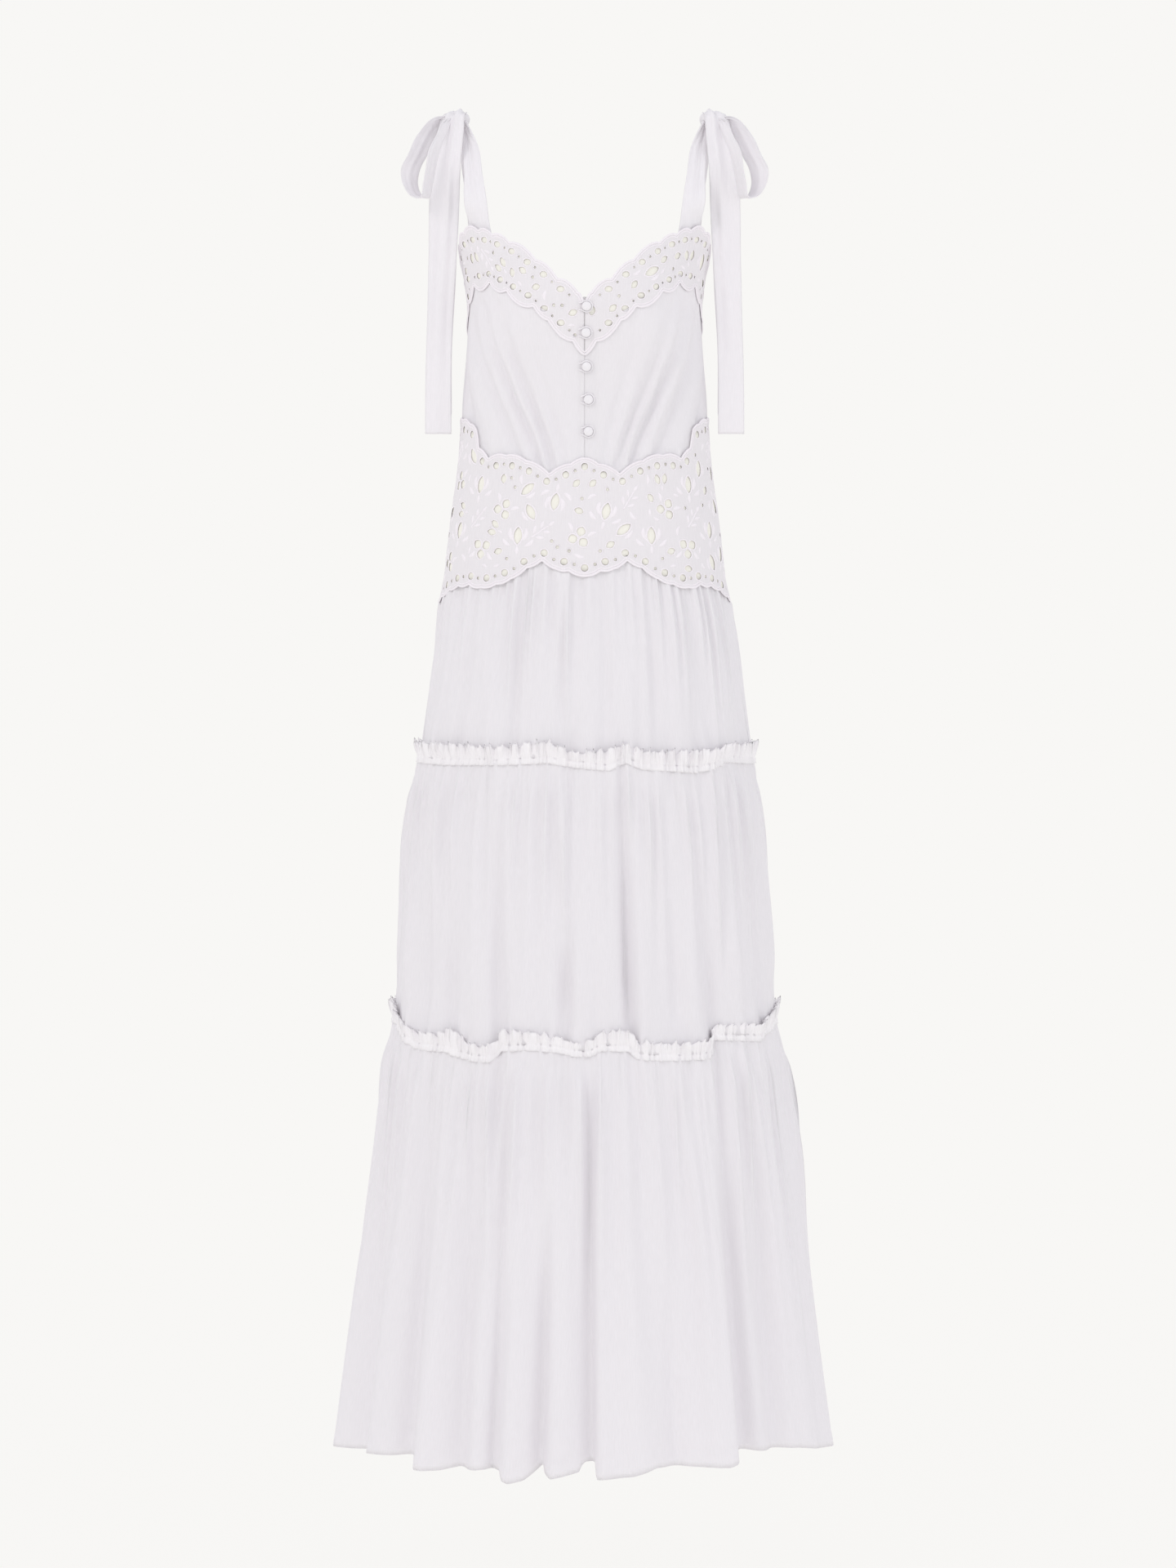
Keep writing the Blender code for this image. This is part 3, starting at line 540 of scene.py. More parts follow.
def bodiceSurface(angle, share, top, foot):
    out = np.zeros(np.broadcast(angle, share).shape)
    for up, low, wideTop, wideFoot, depth, peak in bodiceFolds:
        centre = up + (low - up) * smoothStep(share) ** 0.85
        width = wideTop + (wideFoot - wideTop) * share
        strength = np.exp(-(((share - peak) / 0.42) ** 2))
        out += depth * strength * bell(turned(angle - centre) / width)
    down = (top - foot) * (1 - share)
    out += gathers(angle, down, bodiceGathers) * (1 - bell(turned(angle) / 7))
    return out

def bodicePart(label, node, start, end):
    front = end - start == 90
    angle = angleRange(start, end, 130 if front else 240)[None, :]
    rows = 54 if front else 38
    share = np.linspace(0, 1, rows)[:, None]
    top = bandLower(angle[0])[None, :] + 11
    foot = np.full_like(angle, -390.0)
    height = top + (foot - top) * share
    out = bodiceSurface(angle, share, top, foot)
    # It lies flat under the band and under the panel, and along the slit.
    tuck = 1 - np.maximum(1 - smoothStep((top - height - 10) / 18),
        smoothStep((height * -1 - 366) / 18) * 0.6)
    under = smoothStep((panelUpper(angle[0])[None, :] + 5 - height) / 8)
    out = (out - 1.6) * tuck * (1 - under) - 0.6 * under
    out = np.minimum(out, 2.5) * smoothStep((np.abs(np.abs(turned(angle)) - 90) - 1.5) / 15)
    if front:
        edge = np.abs(turned(angle)) * 1.9
        out = out * smoothStep((edge - 4) / 24) - 0.5 * bell((edge - 3.2) / 0.9)
    piece = gridObject("bodice" + label, formPoint(angle, height, out), voileMaterial, thickness=0.7,
        side=-1)
    place(piece, "bodice_" + node, "voile")

    facingHeights = (bandUpper(angle[0]) - 3.5, (bandUpper(angle[0]) + bandLower(angle[0])) / 2,
        bandLower(angle[0]) + 10)
    share = np.linspace(0, 1, 12)[:, None]
    facing = facingHeights[0] + (facingHeights[2] - facingHeights[0]) * share
    piece = gridObject("neckFacing" + label, formPoint(angle, facing, 0.2), facingMaterial, thickness=0.6,
        side=-1)
    place(piece, "neck_facing_" + node, "facing")

for part in bodiceParts:
    bodicePart(*part)
for half in halves:
    angle = angleRange(*halves[half], 160)[None, :]
    share = np.linspace(0, 1, 14)[:, None]
    height = panelUpper(angle[0]) - 6 + (panelLower(angle[0]) - panelUpper(angle[0]) + 12) * share
    piece = gridObject("waistBacking" + half.title(), formPoint(angle, height, 0.25), facingMaterial,
        thickness=0.6, side=-1)
    place(piece, "waist_backing_" + half, "facing")
print("stage: bodice and facings")

def meshObject(name, vertices, faces, cut, material):
    # A smooth mesh whose UV map holds its cut lengths in metres.
    mesh = bpy.data.meshes.new(name)
    mesh.from_pydata(vertices.tolist(), [], faces.tolist())
    layer = mesh.uv_layers.new(name="cut")
    layer.data.foreach_set("uv", cut[faces.ravel()].astype(np.float32).ravel())
    mesh.materials.append(material)
    mesh.polygons.foreach_set("use_smooth", np.ones(len(faces), bool))
    thing = bpy.data.objects.new(name, mesh)
    bpy.context.scene.collection.objects.link(thing)
    return thing

# Embroidered panels, drawn flat (arc length from the centre front, height, in mm), then laid on the form.
def arcOf(upper, lower):
    angles = np.arange(-100.0, 281.0, 0.25)
    points = formPoint(angles, (upper(angles) + lower(angles)) / 2, 0.8) / mm
    lengths = np.concatenate([[0], np.cumsum(np.hypot(np.diff(points[:, 0]), np.diff(points[:, 1])))])
    return angles, lengths - np.interp(0, angles, lengths)

def lens(centre, length, width, turn, count=18, power=0.9):
    t = np.linspace(0, 1, count // 2 + 1)
    side = np.sin(np.pi * t) ** power * width / 2
    x = np.concatenate([t, t[-2:0:-1]]) * length - length / 2
    y = np.concatenate([-side, side[-2:0:-1]])
    c, s = math.cos(math.radians(turn)), math.sin(math.radians(turn))
    return np.stack([centre[0] + c * x - s * y, centre[1] + s * x + c * y], -1)

def ringAt(s, z, r, squash=1.0):
    t = np.linspace(0, 2 * np.pi, 21 if r > 2.5 else 13)[:-1]
    return np.stack([s + r * squash * np.cos(t), z + r * np.sin(t)], -1)

class Panel:
    def __init__(self, upper, lower, span, inset):
        self.upper, self.lower, self.span, self.inset = upper, lower, span, inset
        self.angles, self.lengths = arcOf(upper, lower)
        self.start, self.end = self.at(span[0] + inset), self.at(span[1] - inset)
        self.circles = np.zeros((0, 3))
        self.holes, self.ridges = [], []

    def at(self, angle):
        return np.interp(angle, self.angles, self.lengths)

    def angleAt(self, s):
        return np.interp(s, self.lengths, self.angles)

    def free(self, circles, gap, margin):
        for s, z, r in circles:
            if not self.start + r + margin < s < self.end - r - margin:
                return False
            a = self.angleAt(np.array([s - r, s, s + r]))
            if z + r + margin > self.upper(a).min() or z - r - margin < self.lower(a).max():
                return False
            if len(self.circles):
                d = np.hypot(self.circles[:, 0] - s, self.circles[:, 1] - z) - self.circles[:, 2] - r
                if d.min() < gap:
                    return False
        return True

    def claim(self, circles, gap, margin):
        if not self.free(circles, gap, margin):
            return False
        self.circles = np.vstack([self.circles, circles])
        return True

    def round(self, s, z, r, rim, gap, squash=1.0, margin=1.5):
        if self.claim([(s, z, r + rim)], gap, margin):
            self.holes.append((ringAt(s, z, r, squash), rim))

    def on(self, flat, out):
        return formPoint(self.angleAt(flat[..., 0]), flat[..., 1], out)

    def relief(self, flat):
        return 0.8 + 0.22 * np.sin(flat[..., 0] * 0.31) * np.sin(flat[..., 1] * 0.23 + 1)

    def sheet(self, name, node, flat, spacing):
        a = np.linspace(self.span[0] + self.inset, self.span[1] - self.inset,
            int((self.end - self.start) / 1.3))
        s = self.at(a)
        sides = [np.stack([np.full(14, x), np.linspace(self.lower(np.array([e]))[0],
            self.upper(np.array([e]))[0], 16)[1:-1]], -1)
                 for x, e in ((s[-1], a[-1]), (s[0], a[0]))]
        outline = np.concatenate([
            np.stack([s, self.lower(a)], -1), sides[0], np.stack([s, self.upper(a)], -1)[::-1],
            sides[1][::-1],
        ])
        gx, gz = np.meshgrid(
            np.arange(self.start + spacing / 2, self.end, spacing),
            np.arange(outline[:, 1].min(), outline[:, 1].max(), spacing * 0.87),
        )
        gx = gx + (np.arange(gx.shape[0]) % 2)[:, None] * spacing / 2
        inner = np.stack([gx.ravel(), gz.ravel()], -1)
        top, foot = self.upper(self.angleAt(inner[:, 0])), self.lower(self.angleAt(inner[:, 0]))
        keep = (inner[:, 1] < top - 1.3) & (inner[:, 1] > foot + 1.3) & (inner[:, 0] < self.end - 1)
        inner = inner[keep]
        points, rings = [outline], [list(range(len(outline)))]
        count = len(outline)
        for ring, rim in self.holes:
            centre = ring.mean(0)
            reach = np.abs(ring - centre).max() + 0.8
            inner = inner[np.hypot(*(inner - centre).T) > reach * (1 if reach < 4.8 else 0.7)]
            points.append(ring)
            rings.append(list(range(count, count + len(ring))))
            count += len(ring)
        points = np.concatenate(points + [inner])
        flatPoints, _, faces, _, _, owners = delaunay_2d_cdt(
            [Vector(p) for p in points], [], rings, 1, 1e-5, True
        )
        flatPoints = np.array([tuple(p) for p in flatPoints])
        faces = np.array([f for f, owner in zip(faces, owners) if list(owner) == [0]])
        used = np.unique(faces)
        renumber = np.zeros(len(flatPoints), int)
        renumber[used] = np.arange(len(used))
        flatPoints, faces = flatPoints[used], renumber[faces]
        edgeA, edgeB = flatPoints[faces[:, 1]] - flatPoints[faces[:, 0]], flatPoints[faces[:,
            2]] - flatPoints[faces[:, 0]]
        back = edgeA[:, 0] * edgeB[:, 1] - edgeA[:, 1] * edgeB[:, 0] < 0
        faces[back] = faces[back][:, ::-1]
        points = self.on(flatPoints, self.relief(flatPoints))
        thing = meshObject(name, points, faces, flatPoints * mm, eyeletMaterial)
        wall = thing.modifiers.new("wall", "SOLIDIFY")
        wall.thickness, wall.offset = 0.6 * mm, 1
        place(thing, node, "eyelet")
        stitched = self.stitching(name + "Stitching")
        place(stitched, node, "eyelet")
        max(0.31, self.share(flat)) * flat[0] * flat[1]

    def share(self, flat):
        a = np.linspace(self.span[0], self.span[1], 400)
        area = np.trapz(self.upper(a) - self.lower(a), self.at(a)) * mm * mm
        return min(1.0, area / (flat[0] * flat[1]))

    def border(self):
        # Two close lines of satin along each scalloped edge.
        a = np.linspace(self.span[0] + self.inset, self.span[1] - self.inset,
            int((self.end - self.start) / 1.1))
        s = self.at(a)
        for edge, inward in ((self.upper(a), -1), (self.lower(a), 1)):
            line = np.stack([s, edge], -1)
            tangent = np.gradient(line, axis=0)
            normal = np.stack([-tangent[:, 1], tangent[:, 0]], -1) / np.hypot(*tangent.T)[:, None]
            for distance, half, rise in ((1.0, 1.25, 0.85), (3.6, 0.8, 0.6)):
                path = line + inward * distance * normal
                self.ridges.append((path, np.full(len(path), half), np.full(len(path), rise), False))

    def stitching(self, name):
        across = np.array([-1.0, -0.72, 0, 0.72, 1.0])
        crown = np.sqrt(1 - across**2)
        vertices, faces, flats, count = [], [], [], 0
        ridges = list(self.ridges)
        for ring, rim in self.holes:
            tangent = np.roll(ring, -1, 0) - np.roll(ring, 1, 0)
            outward = np.stack([tangent[:, 1], -tangent[:, 0]], -1) / np.hypot(*tangent.T)[:, None]
            ridges.append((ring + outward * rim * 0.5, np.full(len(ring), rim * 0.6),
                np.full(len(ring), 0.45), True))
        for path, half, rise, closed in ridges:
            tangent = (np.roll(path, -1, 0) - np.roll(path, 1, 0)) if closed else np.gradient(path, axis=0)
            normal = np.stack([-tangent[:, 1], tangent[:, 0]], -1) / np.maximum(np.hypot(*tangent.T),
                1e-6)[:, None]
            flat = path[:, None] + normal[:, None] * (half[:, None] * across)[..., None]
            out = 1.25 + rise[:, None] * crown - 0.2 * (np.abs(across) == 1)
            vertices.append(self.on(flat, out + self.relief(flat) - 0.8).reshape(-1, 3))
            flats.append(flat.reshape(-1, 2))
            n = len(path)
            i = np.arange(n if closed else n - 1)[:, None]
            j = np.arange(4)[None]
            nxt = (i + 1) % n
            faces.append(count + np.stack([i * 5 + j, nxt * 5 + j, nxt * 5 + j + 1, i * 5 + j + 1],
                -1).reshape(-1, 4))
            count += n * 5
        vertices, faces, flats = np.concatenate(vertices), np.concatenate(faces), np.concatenate(flats)
        return meshObject(name, vertices, faces, flats * mm, satinMaterial)

# Motifs as (kind, across, up, length, width, turn, curve) in mm and degrees.
# A round takes its radius and rim instead.
motifs = {
    "lotus": (
        ("hole", 0, 0, 16, 7.0, 90, 1.7), ("leaf", -7.6, 1, 15, 4.6, 108, -75),
        ("leaf", 7.6, 1, 15, 4.6, 72, 75),
        ("leaf", -11.5, -7, 12, 4.2, 145, -60), ("leaf", 11.5, -7, 12, 4.2, 35, 60),
        ("leaf", 0, -13, 9, 3.6, 90, 0),
    ),
    "bloom": (
        ("hole", 0, 5.6, 9, 7.2, 90, 1.3), ("hole", -5, -3.1, 9, 7.2, 212, 1.3),
        ("hole", 5, -3.1, 9, 7.2, -32, 1.3),
        ("leaf", -9.6, 6.8, 11, 4, 130, 60), ("leaf", 9.6, 6.8, 11, 4, 50, -60),
    ),
    "cluster": (
        ("hole", -4.2, 4.2, 8, 5.8, 135, 1.0), ("hole", 4.2, 4.2, 8, 5.8, 45, 1.0),
        ("hole", -4.2, -4.2, 8, 5.8, 225, 1.0),
        ("hole", 4.2, -4.2, 8, 5.8, -45, 1.0),
    ),
    "eye": (("round", 0, 0, 4.6, 2.0), ("leaf", -9.2, 0, 13, 4, 90, 95), ("leaf", 9.2, 0, 13, 4, 90, -95)),
    "blade": (("hole", 0, 0, 16, 6.6, 90, 1.6), ("leaf", 7.2, -1, 13, 4.0, 78, 60)),
    "pair": (("hole", -3.9, 0, 10, 5.2, 104, 1.0), ("hole", 3.9, 0, 10, 5.2, 76, 1.0),
        ("leaf", 0, -8, 6, 2.6, 90, 0)),
    "twig": (
        ("stem", 0, 0, 19, 0.8, 90, 0), ("leaf", -4.4, -3, 9, 3.4, 128, 0),
        ("leaf", 4.4, -3, 9, 3.4, 52, 0),
        ("leaf", -4, 5, 8, 3.2, 128, 0), ("leaf", 4, 5, 8, 3.2, 52, 0), ("leaf", 0, 12.5, 8, 3.4, 90, 0),
    ),
    "drop": (("hole", 0, 0, 9, 5.4, 90, 1.1),),
    "dot": (("round", 0, 0, 1.7, 0.8),),
    "leaf": (("leaf", 0, 0, 11, 3.8, 90, 70),),
    "leaflet": (("leaf", 0, 0, 7.5, 3.0, 90, 30),),
}
motifScale = 1.18
holeWiden = 1.15

def elementCircles(element):
    kind, x, z, first, second = element[:5]
    if kind == "round":
        return [(x, z, first + second)]
    turn = math.radians(element[5])
    reach = second / 2 + (element[6] if kind == "hole" else 0.0)
    if kind == "stem":
        reach = 1.0
    return [(x + math.cos(turn) * first * k, z + math.sin(turn) * first * k, reach * size)
            for k, size in ((-0.34, 0.8), (0, 1), (0.34, 0.8))]

def placeMotif(panel, name, s, z, turn, flip, gap, margin=2.6):
    cosine, sine = math.cos(math.radians(turn)), math.sin(math.radians(turn))
    laid, circles = [], []
    for kind, x, y, first, second, *rest in motifs[name]:
        x, y, first = x * motifScale, y * motifScale, first * motifScale
        second *= {"round": 1.0, "hole": holeWiden * motifScale}.get(kind, motifScale)
        x, y = flip * (cosine * x - sine * y), sine * x + cosine * y
        if rest:
            way = rest[0] + turn
            rest = [way if flip > 0 else 180 - way, *rest[1:]]
        laid.append((kind, s + x, z + y, first, second, *rest))
        circles += elementCircles(laid[-1])
    if not panel.claim(np.array(circles), gap, margin):
        return False
    for kind, x, y, first, second, *rest in laid:
        if kind == "round":
            panel.holes.append((ringAt(x, y, first), second))
        elif kind == "hole":
            panel.holes.append((lens((x, y), first, second, rest[0], power=0.7), rest[1]))
        elif kind == "leaf":
            t = np.linspace(-0.5, 0.5, 9)
            heading = np.radians(rest[0] + flip * rest[1] * t)
            path = np.stack([np.cumsum(np.cos(heading)), np.cumsum(np.sin(heading))], -1) * first / 9
            path += np.array([x, y]) - path[4]
            shape = np.clip(np.sin(np.pi * (t + 0.5)) ** 0.7, 0.08, 1)
            panel.ridges.append((path, second / 2 * shape, 0.8 * shape, False))
        else:
            way = math.radians(rest[0])
            t = np.linspace(-0.5, 0.5, 8)[:, None] * first
            path = np.array([x, y]) + t * np.array([math.cos(way), math.sin(way)])
            panel.ridges.append((path, np.full(8, second), np.full(8, 0.5), False))
    return True

def scatterMotifs(panel, layout, seed):
    # Each motif is tried at seeded places and kept where it is clear of the rest, mirrored about the middle.
    rng = np.random.default_rng(seed)
    spread = np.linspace(*panel.span, 60)
    low, high = panel.lower(spread).min(), panel.upper(spread).max()
    middle = panel.at(sum(panel.span) / 2) if panel.span[1] - panel.span[0] > 100 else None
    for name, tries, sway, gap in layout:
        for _ in range(tries):
            s, z = rng.uniform(panel.start, panel.end), rng.uniform(low, high)
            turn = rng.uniform(-sway, sway) + (180 if rng.uniform() < 0.35 else 0)
            flip = 1 if rng.uniform() < 0.5 else -1
            if middle is None:
                # Both fronts share one layout, so that they mirror each other.
                side = 1 if panel.end > 1 else -1
                placeMotif(panel, name, side * abs(s), z, side * turn, side * flip, gap)
            elif placeMotif(panel, name, s, z, turn, flip, gap):
                placeMotif(panel, name, 2 * middle - s, z, -turn, -flip, gap)

def edgeEyelets(panel, corners, inward, first, pitch, big, small, squash=1.0):
    middle = panel.at(sum(panel.span) / 2) if panel.span[1] - panel.span[0] > 100 else 0
    for k in range(60):
        for side in (1, -1):
            s = middle + side * (first + pitch * k)
            if panel.start < s < panel.end:
                z = scallop(corners, 0, panel.angleAt(np.array([s])))[0] + inward
                if k % 2 == 0:
                    panel.round(s, z, big, 1.2, 0.4, squash)
                else:
                    panel.round(s, z, small, 0.8, 0.3)

neckLayout = (
    ("bloom", 60, 60, 1.2), ("blade", 90, 70, 1.1), ("twig", 60, 60, 1.0), ("pair", 160, 80, 1.1),
    ("drop", 260, 90, 1.3),
    ("dot", 120, 0, 1.8), ("leaf", 200, 180, 1.2), ("leaflet", 120, 180, 1.2),
)
for label, node, start, end in (("FrontLeft", "front_left", 0, 90), ("FrontRight", "front_right", -90, 0),
    ("Back", "back", 90, 270)):
    panel = Panel(bandUpper, bandLower, (start, end), 0.1)
    panel.border()
    edgeEyelets(panel, neckUpper, -9.0, 7.0, 9.2, 3.5, 1.5, 1.25)
    edgeEyelets(panel, neckLower, 8.8, 7.0, 9.2, 3.5, 1.5, 1.25)
    scatterMotifs(panel, neckLayout, 61)
    panel.sheet("neckBand" + label, "neck_band_" + node, ((panel.end - panel.start) * mm, 0.062), 2.8)

waistLayout = (
    ("lotus", 130, 25, 1.6), ("bloom", 160, 50, 1.6), ("twig", 60, 60, 1.4), ("blade", 260, 60, 1.6),
    ("cluster", 260, 45, 1.6),
    ("eye", 260, 60, 1.6), ("pair", 300, 80, 1.5), ("drop", 500, 90, 1.7), ("dot", 260, 0, 2.2),
    ("leaf", 400, 180, 1.4),
    ("leaflet", 200, 180, 1.6),
)
for half in halves:
    panel = Panel(panelUpper, panelLower, halves[half], 0.04)
    panel.border()
    edgeEyelets(panel, waistUpper, -9.6, 0.0 if half == "front" else 5.3, 10.6, 4.0, 1.9)
    edgeEyelets(panel, waistLower, 9.4, 0.0 if half == "front" else 5.3, 10.6, 4.0, 1.9)
    scatterMotifs(panel, waistLayout, 64)
    panel.sheet("waistPanel" + half.title(), "waist_panel_" + half,
        ((panel.end - panel.start) * mm, 0.165), 3.0)
print("stage: embroidered panels")

# Closure: the strip behind the slit, five covered buttons and their cord loops.
buttons = ((2, -201), (1.5, -229), (2, -265), (4, -300), (4, -334))
buttonSpec = {"radius": 5.0, "rise": 2.5, "cord": 0.8, "gathers": 22}

def frontAt(across, height, out):
    half = np.interp(height, levels, levelShapes[:, 0])
    return formPoint(np.degrees(np.arcsin(np.asarray(across) / half)), height, out)

height = np.linspace(-202, -381, 60)[:, None]
across = np.linspace(-8, 15, 10)[None, :]
stand = gridObject("buttonStand", frontAt(across + 0 * height, height + 0 * across, -1.0), facingMaterial,
    thickness=0.6, side=-1)
place(stand, "button_stand", "facing")

for number, (x, z) in enumerate(buttons, 1):
    bpy.ops.object.select_all(action="DESELECT")
    base = 2.1 if number <= 2 else 0.4
    bpy.ops.mesh.primitive_uv_sphere_add(segments=44, ring_count=22, radius=1)
    dome = bpy.context.object
    dome.name = f"button{number}"
    centre = frontAt(x, z, base + buttonSpec["rise"])
    radius, rise = buttonSpec["radius"] * mm, buttonSpec["rise"] * mm
    for vertex in dome.data.vertices:
        v = vertex.co
        around = math.atan2(v.y, v.x)
        edge = math.hypot(v.x, v.y)
        ripple = 0.045 * math.sin(buttonSpec["gathers"] * around)
        gather = 1 + ripple * (1 - smoothStep((v.z + 0.1) / 0.45)) * edge
        flat = math.copysign(abs(v.z) ** 0.8, v.z)
        vertex.co = Vector((centre[0] + v.x * radius * gather, centre[1] - flat * rise,
            centre[2] + v.y * radius * gather))
    dome.data.materials.append(buttonMaterial)
    bpy.ops.object.shade_smooth()
    place(dome, f"button_{number}", "button")

    curve = bpy.data.curves.new(f"buttonLoop{number}", "CURVE")
    curve.dimensions = "3D"
    curve.bevel_depth = buttonSpec["cord"] * mm
    curve.bevel_resolution = 3
    curve.use_fill_caps = True
    line = curve.splines.new("NURBS")
    reach = buttonSpec["radius"] + buttonSpec["cord"] + 0.3
    path = [(x + reach * math.cos(t), z + reach * math.sin(t)) for t in np.radians(np.arange(-140, 141,
        14))]
    path = [(x - 8, z - 3.2), (x - 6.2, z - 3.9), *path, (x - 6.2, z + 3.9), (x - 8, z + 3.2)]
    line.points.add(len(path) - 1)
    for point, (px, pz) in zip(line.points, path):
        point.co = (*frontAt(px, pz, base + 1.1), 1)
    line.use_endpoint_u = True
    cord = bpy.data.objects.new(curve.name, curve)
    bpy.context.scene.collection.objects.link(cord)
    bpy.ops.object.select_all(action="DESELECT")
    cord.select_set(True)
    bpy.context.view_layer.objects.active = cord
    bpy.ops.object.convert(target="MESH")
    cord = bpy.context.object
    cord.name = f"buttonLoop{number}"
    cord.data.materials.append(buttonMaterial)
    place(cord, f"button_loop_{number}", "button")
print("stage: closure")

# Shoulder ties, as the left one: rows of centre, half width and turn of the width (mm, degrees).
# A root row is three angles, a height and mm out.
# Start and end are the way into the knot, half width and turn.
# A crease is its place across, depth, width, and where it starts and ends along the tie.
knotAt, knotRadii = np.array([138.5, 0, 2.5]), np.array([14.0, 10, 10.5])
knotCore, coreRadii = np.array([136.5, 0, 3.5]), np.array([10.5, 9.0, 9.5]) * 0.9  # where the ties run in
tieColumns, tieStep, bunchedOver = 21, 3.2, 34
ties = {
    "front_strap": {
        "rows": ((116.5, -55, -94, 13, -20), (120, -39, -57, 11, -25), (124, -17, -24, 9, -30)),
        "end": (-0.75, -0.5, -0.45, 4.5, -50), "root": ((46, 54, 62, -142, -2.3), (46, 54, 62, -130, -2.3),
            (46, 54, 61, -109, -2)),
        "creases": ((0.45, -0.9, 0.12, 0.45, 1.0), (-0.3, 0.8, 0.2, 0.35, 1.0),
            (0.1, -0.9, 0.1, 0.7, 1.0)), "flat": (0.028, 0.18),
    },
    "back_strap": {
        "rows": ((114, 65, -127, 12.5, 25), (120.5, 57, -78, 11.5, 25), (128, 38, -33, 9, 30)),
        "end": (-0.65, 0.7, -0.3, 4.5, 45), "root": ((136, 128, 120, -201, -2.9),
            (136, 128, 120, -188, -2.9)),
        "creases": ((0.35, -0.8, 0.15, 0.4, 1.0), (-0.4, 0.8, 0.2, 0.3, 1.0)), "flat": (0.028, 0.22),
    },
    "front_tail": {
        "rows": ((141.5, -14, 8, 12, -14), (145, -20, -10, 14.5, -12), (150, -27, -45, 16.2, -8),
            (152, -26, -93, 16.3, 6), (154, -27, -150, 15.2, -6),
                 (156.5, -26, -205, 14, 7), (159, -26, -285, 14, -6), (159, -26, -337, 14.2, 4)),
        "start": (0.1, -0.45, 0.88, 10.0, -16),
        "creases": ((-0.35, -2.2, 0.16, 0.0, 0.4), (0.35, 1.4, 0.22, 0.0, 0.55),
            (0.0, -0.8, 0.3, 0.3, 1.0), (-0.62, 1.0, 0.2, 0.1, 0.8)),
        "flat": (0.033, 0.35),
    },
    "back_tail": {
        "rows": ((143, 17, -20, 9, 12), (148, 23, -51, 12.5, 10), (151, 25, -108, 12.5, -6),
            (154, 26, -176, 12.5, 8),
                 (158, 26, -245, 12.5, -6), (158.5, 26, -316, 12.5, 4)),
        "start": (0.15, 0.75, -0.65, 5.0, 20),
        "creases": ((0.3, -1.8, 0.18, 0.0, 0.5), (-0.4, 1.2, 0.25, 0.0, 0.8)), "flat": (0.03, 0.33),
    },
    "front_loop": {
        "rows": ((157, -14, 3, 9, 55), (169.5, -21, -14, 12.5, 36), (180, -28, -36, 12.5, 34),
            (188.3, -32, -54, 11.5, 30),
                 (187.8, -34, -69, 11, 46), (181, -36, -81, 11, 58), (173, -40, -83, 11, 64),
                 (169, -42, -68, 11, 62),
                 (166, -42, -52, 11, 62), (162.5, -39, -33, 10.5, 58), (155, -29, -15, 8, 55),
                 (149, -20, 0, 7, 55)),
        "start": (0.85, -0.5, 0.2, 5.0, 66), "end": (0.5, -0.8, 0.3, 5.0, 55),
        "creases": ((0.1, -1.0, 0.3, 0.0, 0.35), (-0.4, 0.6, 0.25, 0.05, 0.9), (0.5, 0.6, 0.25, 0.2, 0.8)),
        "flat": (0.026, 0.24),
    },
    "back_loop": {
        "rows": ((154.5, 22, 0, 7, 112), (159, 34, -12, 8.5, 135), (162, 46, -35, 9.5, 160),
            (162.5, 50, -57, 10, 170),
                 (161.5, 46, -70, 10, 170), (161, 38, -66, 10, 168), (160, 35, -49, 9.5, 160),
                 (157, 31, -29, 8.5, 140),
                 (151.5, 22, -12, 6, 112)),
        "start": (0.8, 0.6, 0.15, 5.0, 114), "end": (0.55, 0.62, -0.56, 4.0, 114),
        "creases": ((0.1, -1.2, 0.25, 0.0, 0.35), (-0.4, 0.8, 0.2, 0.05, 0.9)), "flat": (0.019, 0.17),
    },
}

def crossRow(centre, half, turn, away=None):
    # One edge, the middle and the other edge of a tie, square to the way that it runs.
    across = np.array([math.cos(math.radians(turn)), -math.sin(math.radians(turn)), 0])
    if away is not None:
        unit = np.array(away) / np.linalg.norm(away)
        across = across - unit * across.dot(unit)
        across /= np.linalg.norm(across)
    return np.array([np.array(centre) + across * half * t for t in (-1, 0, 1)])

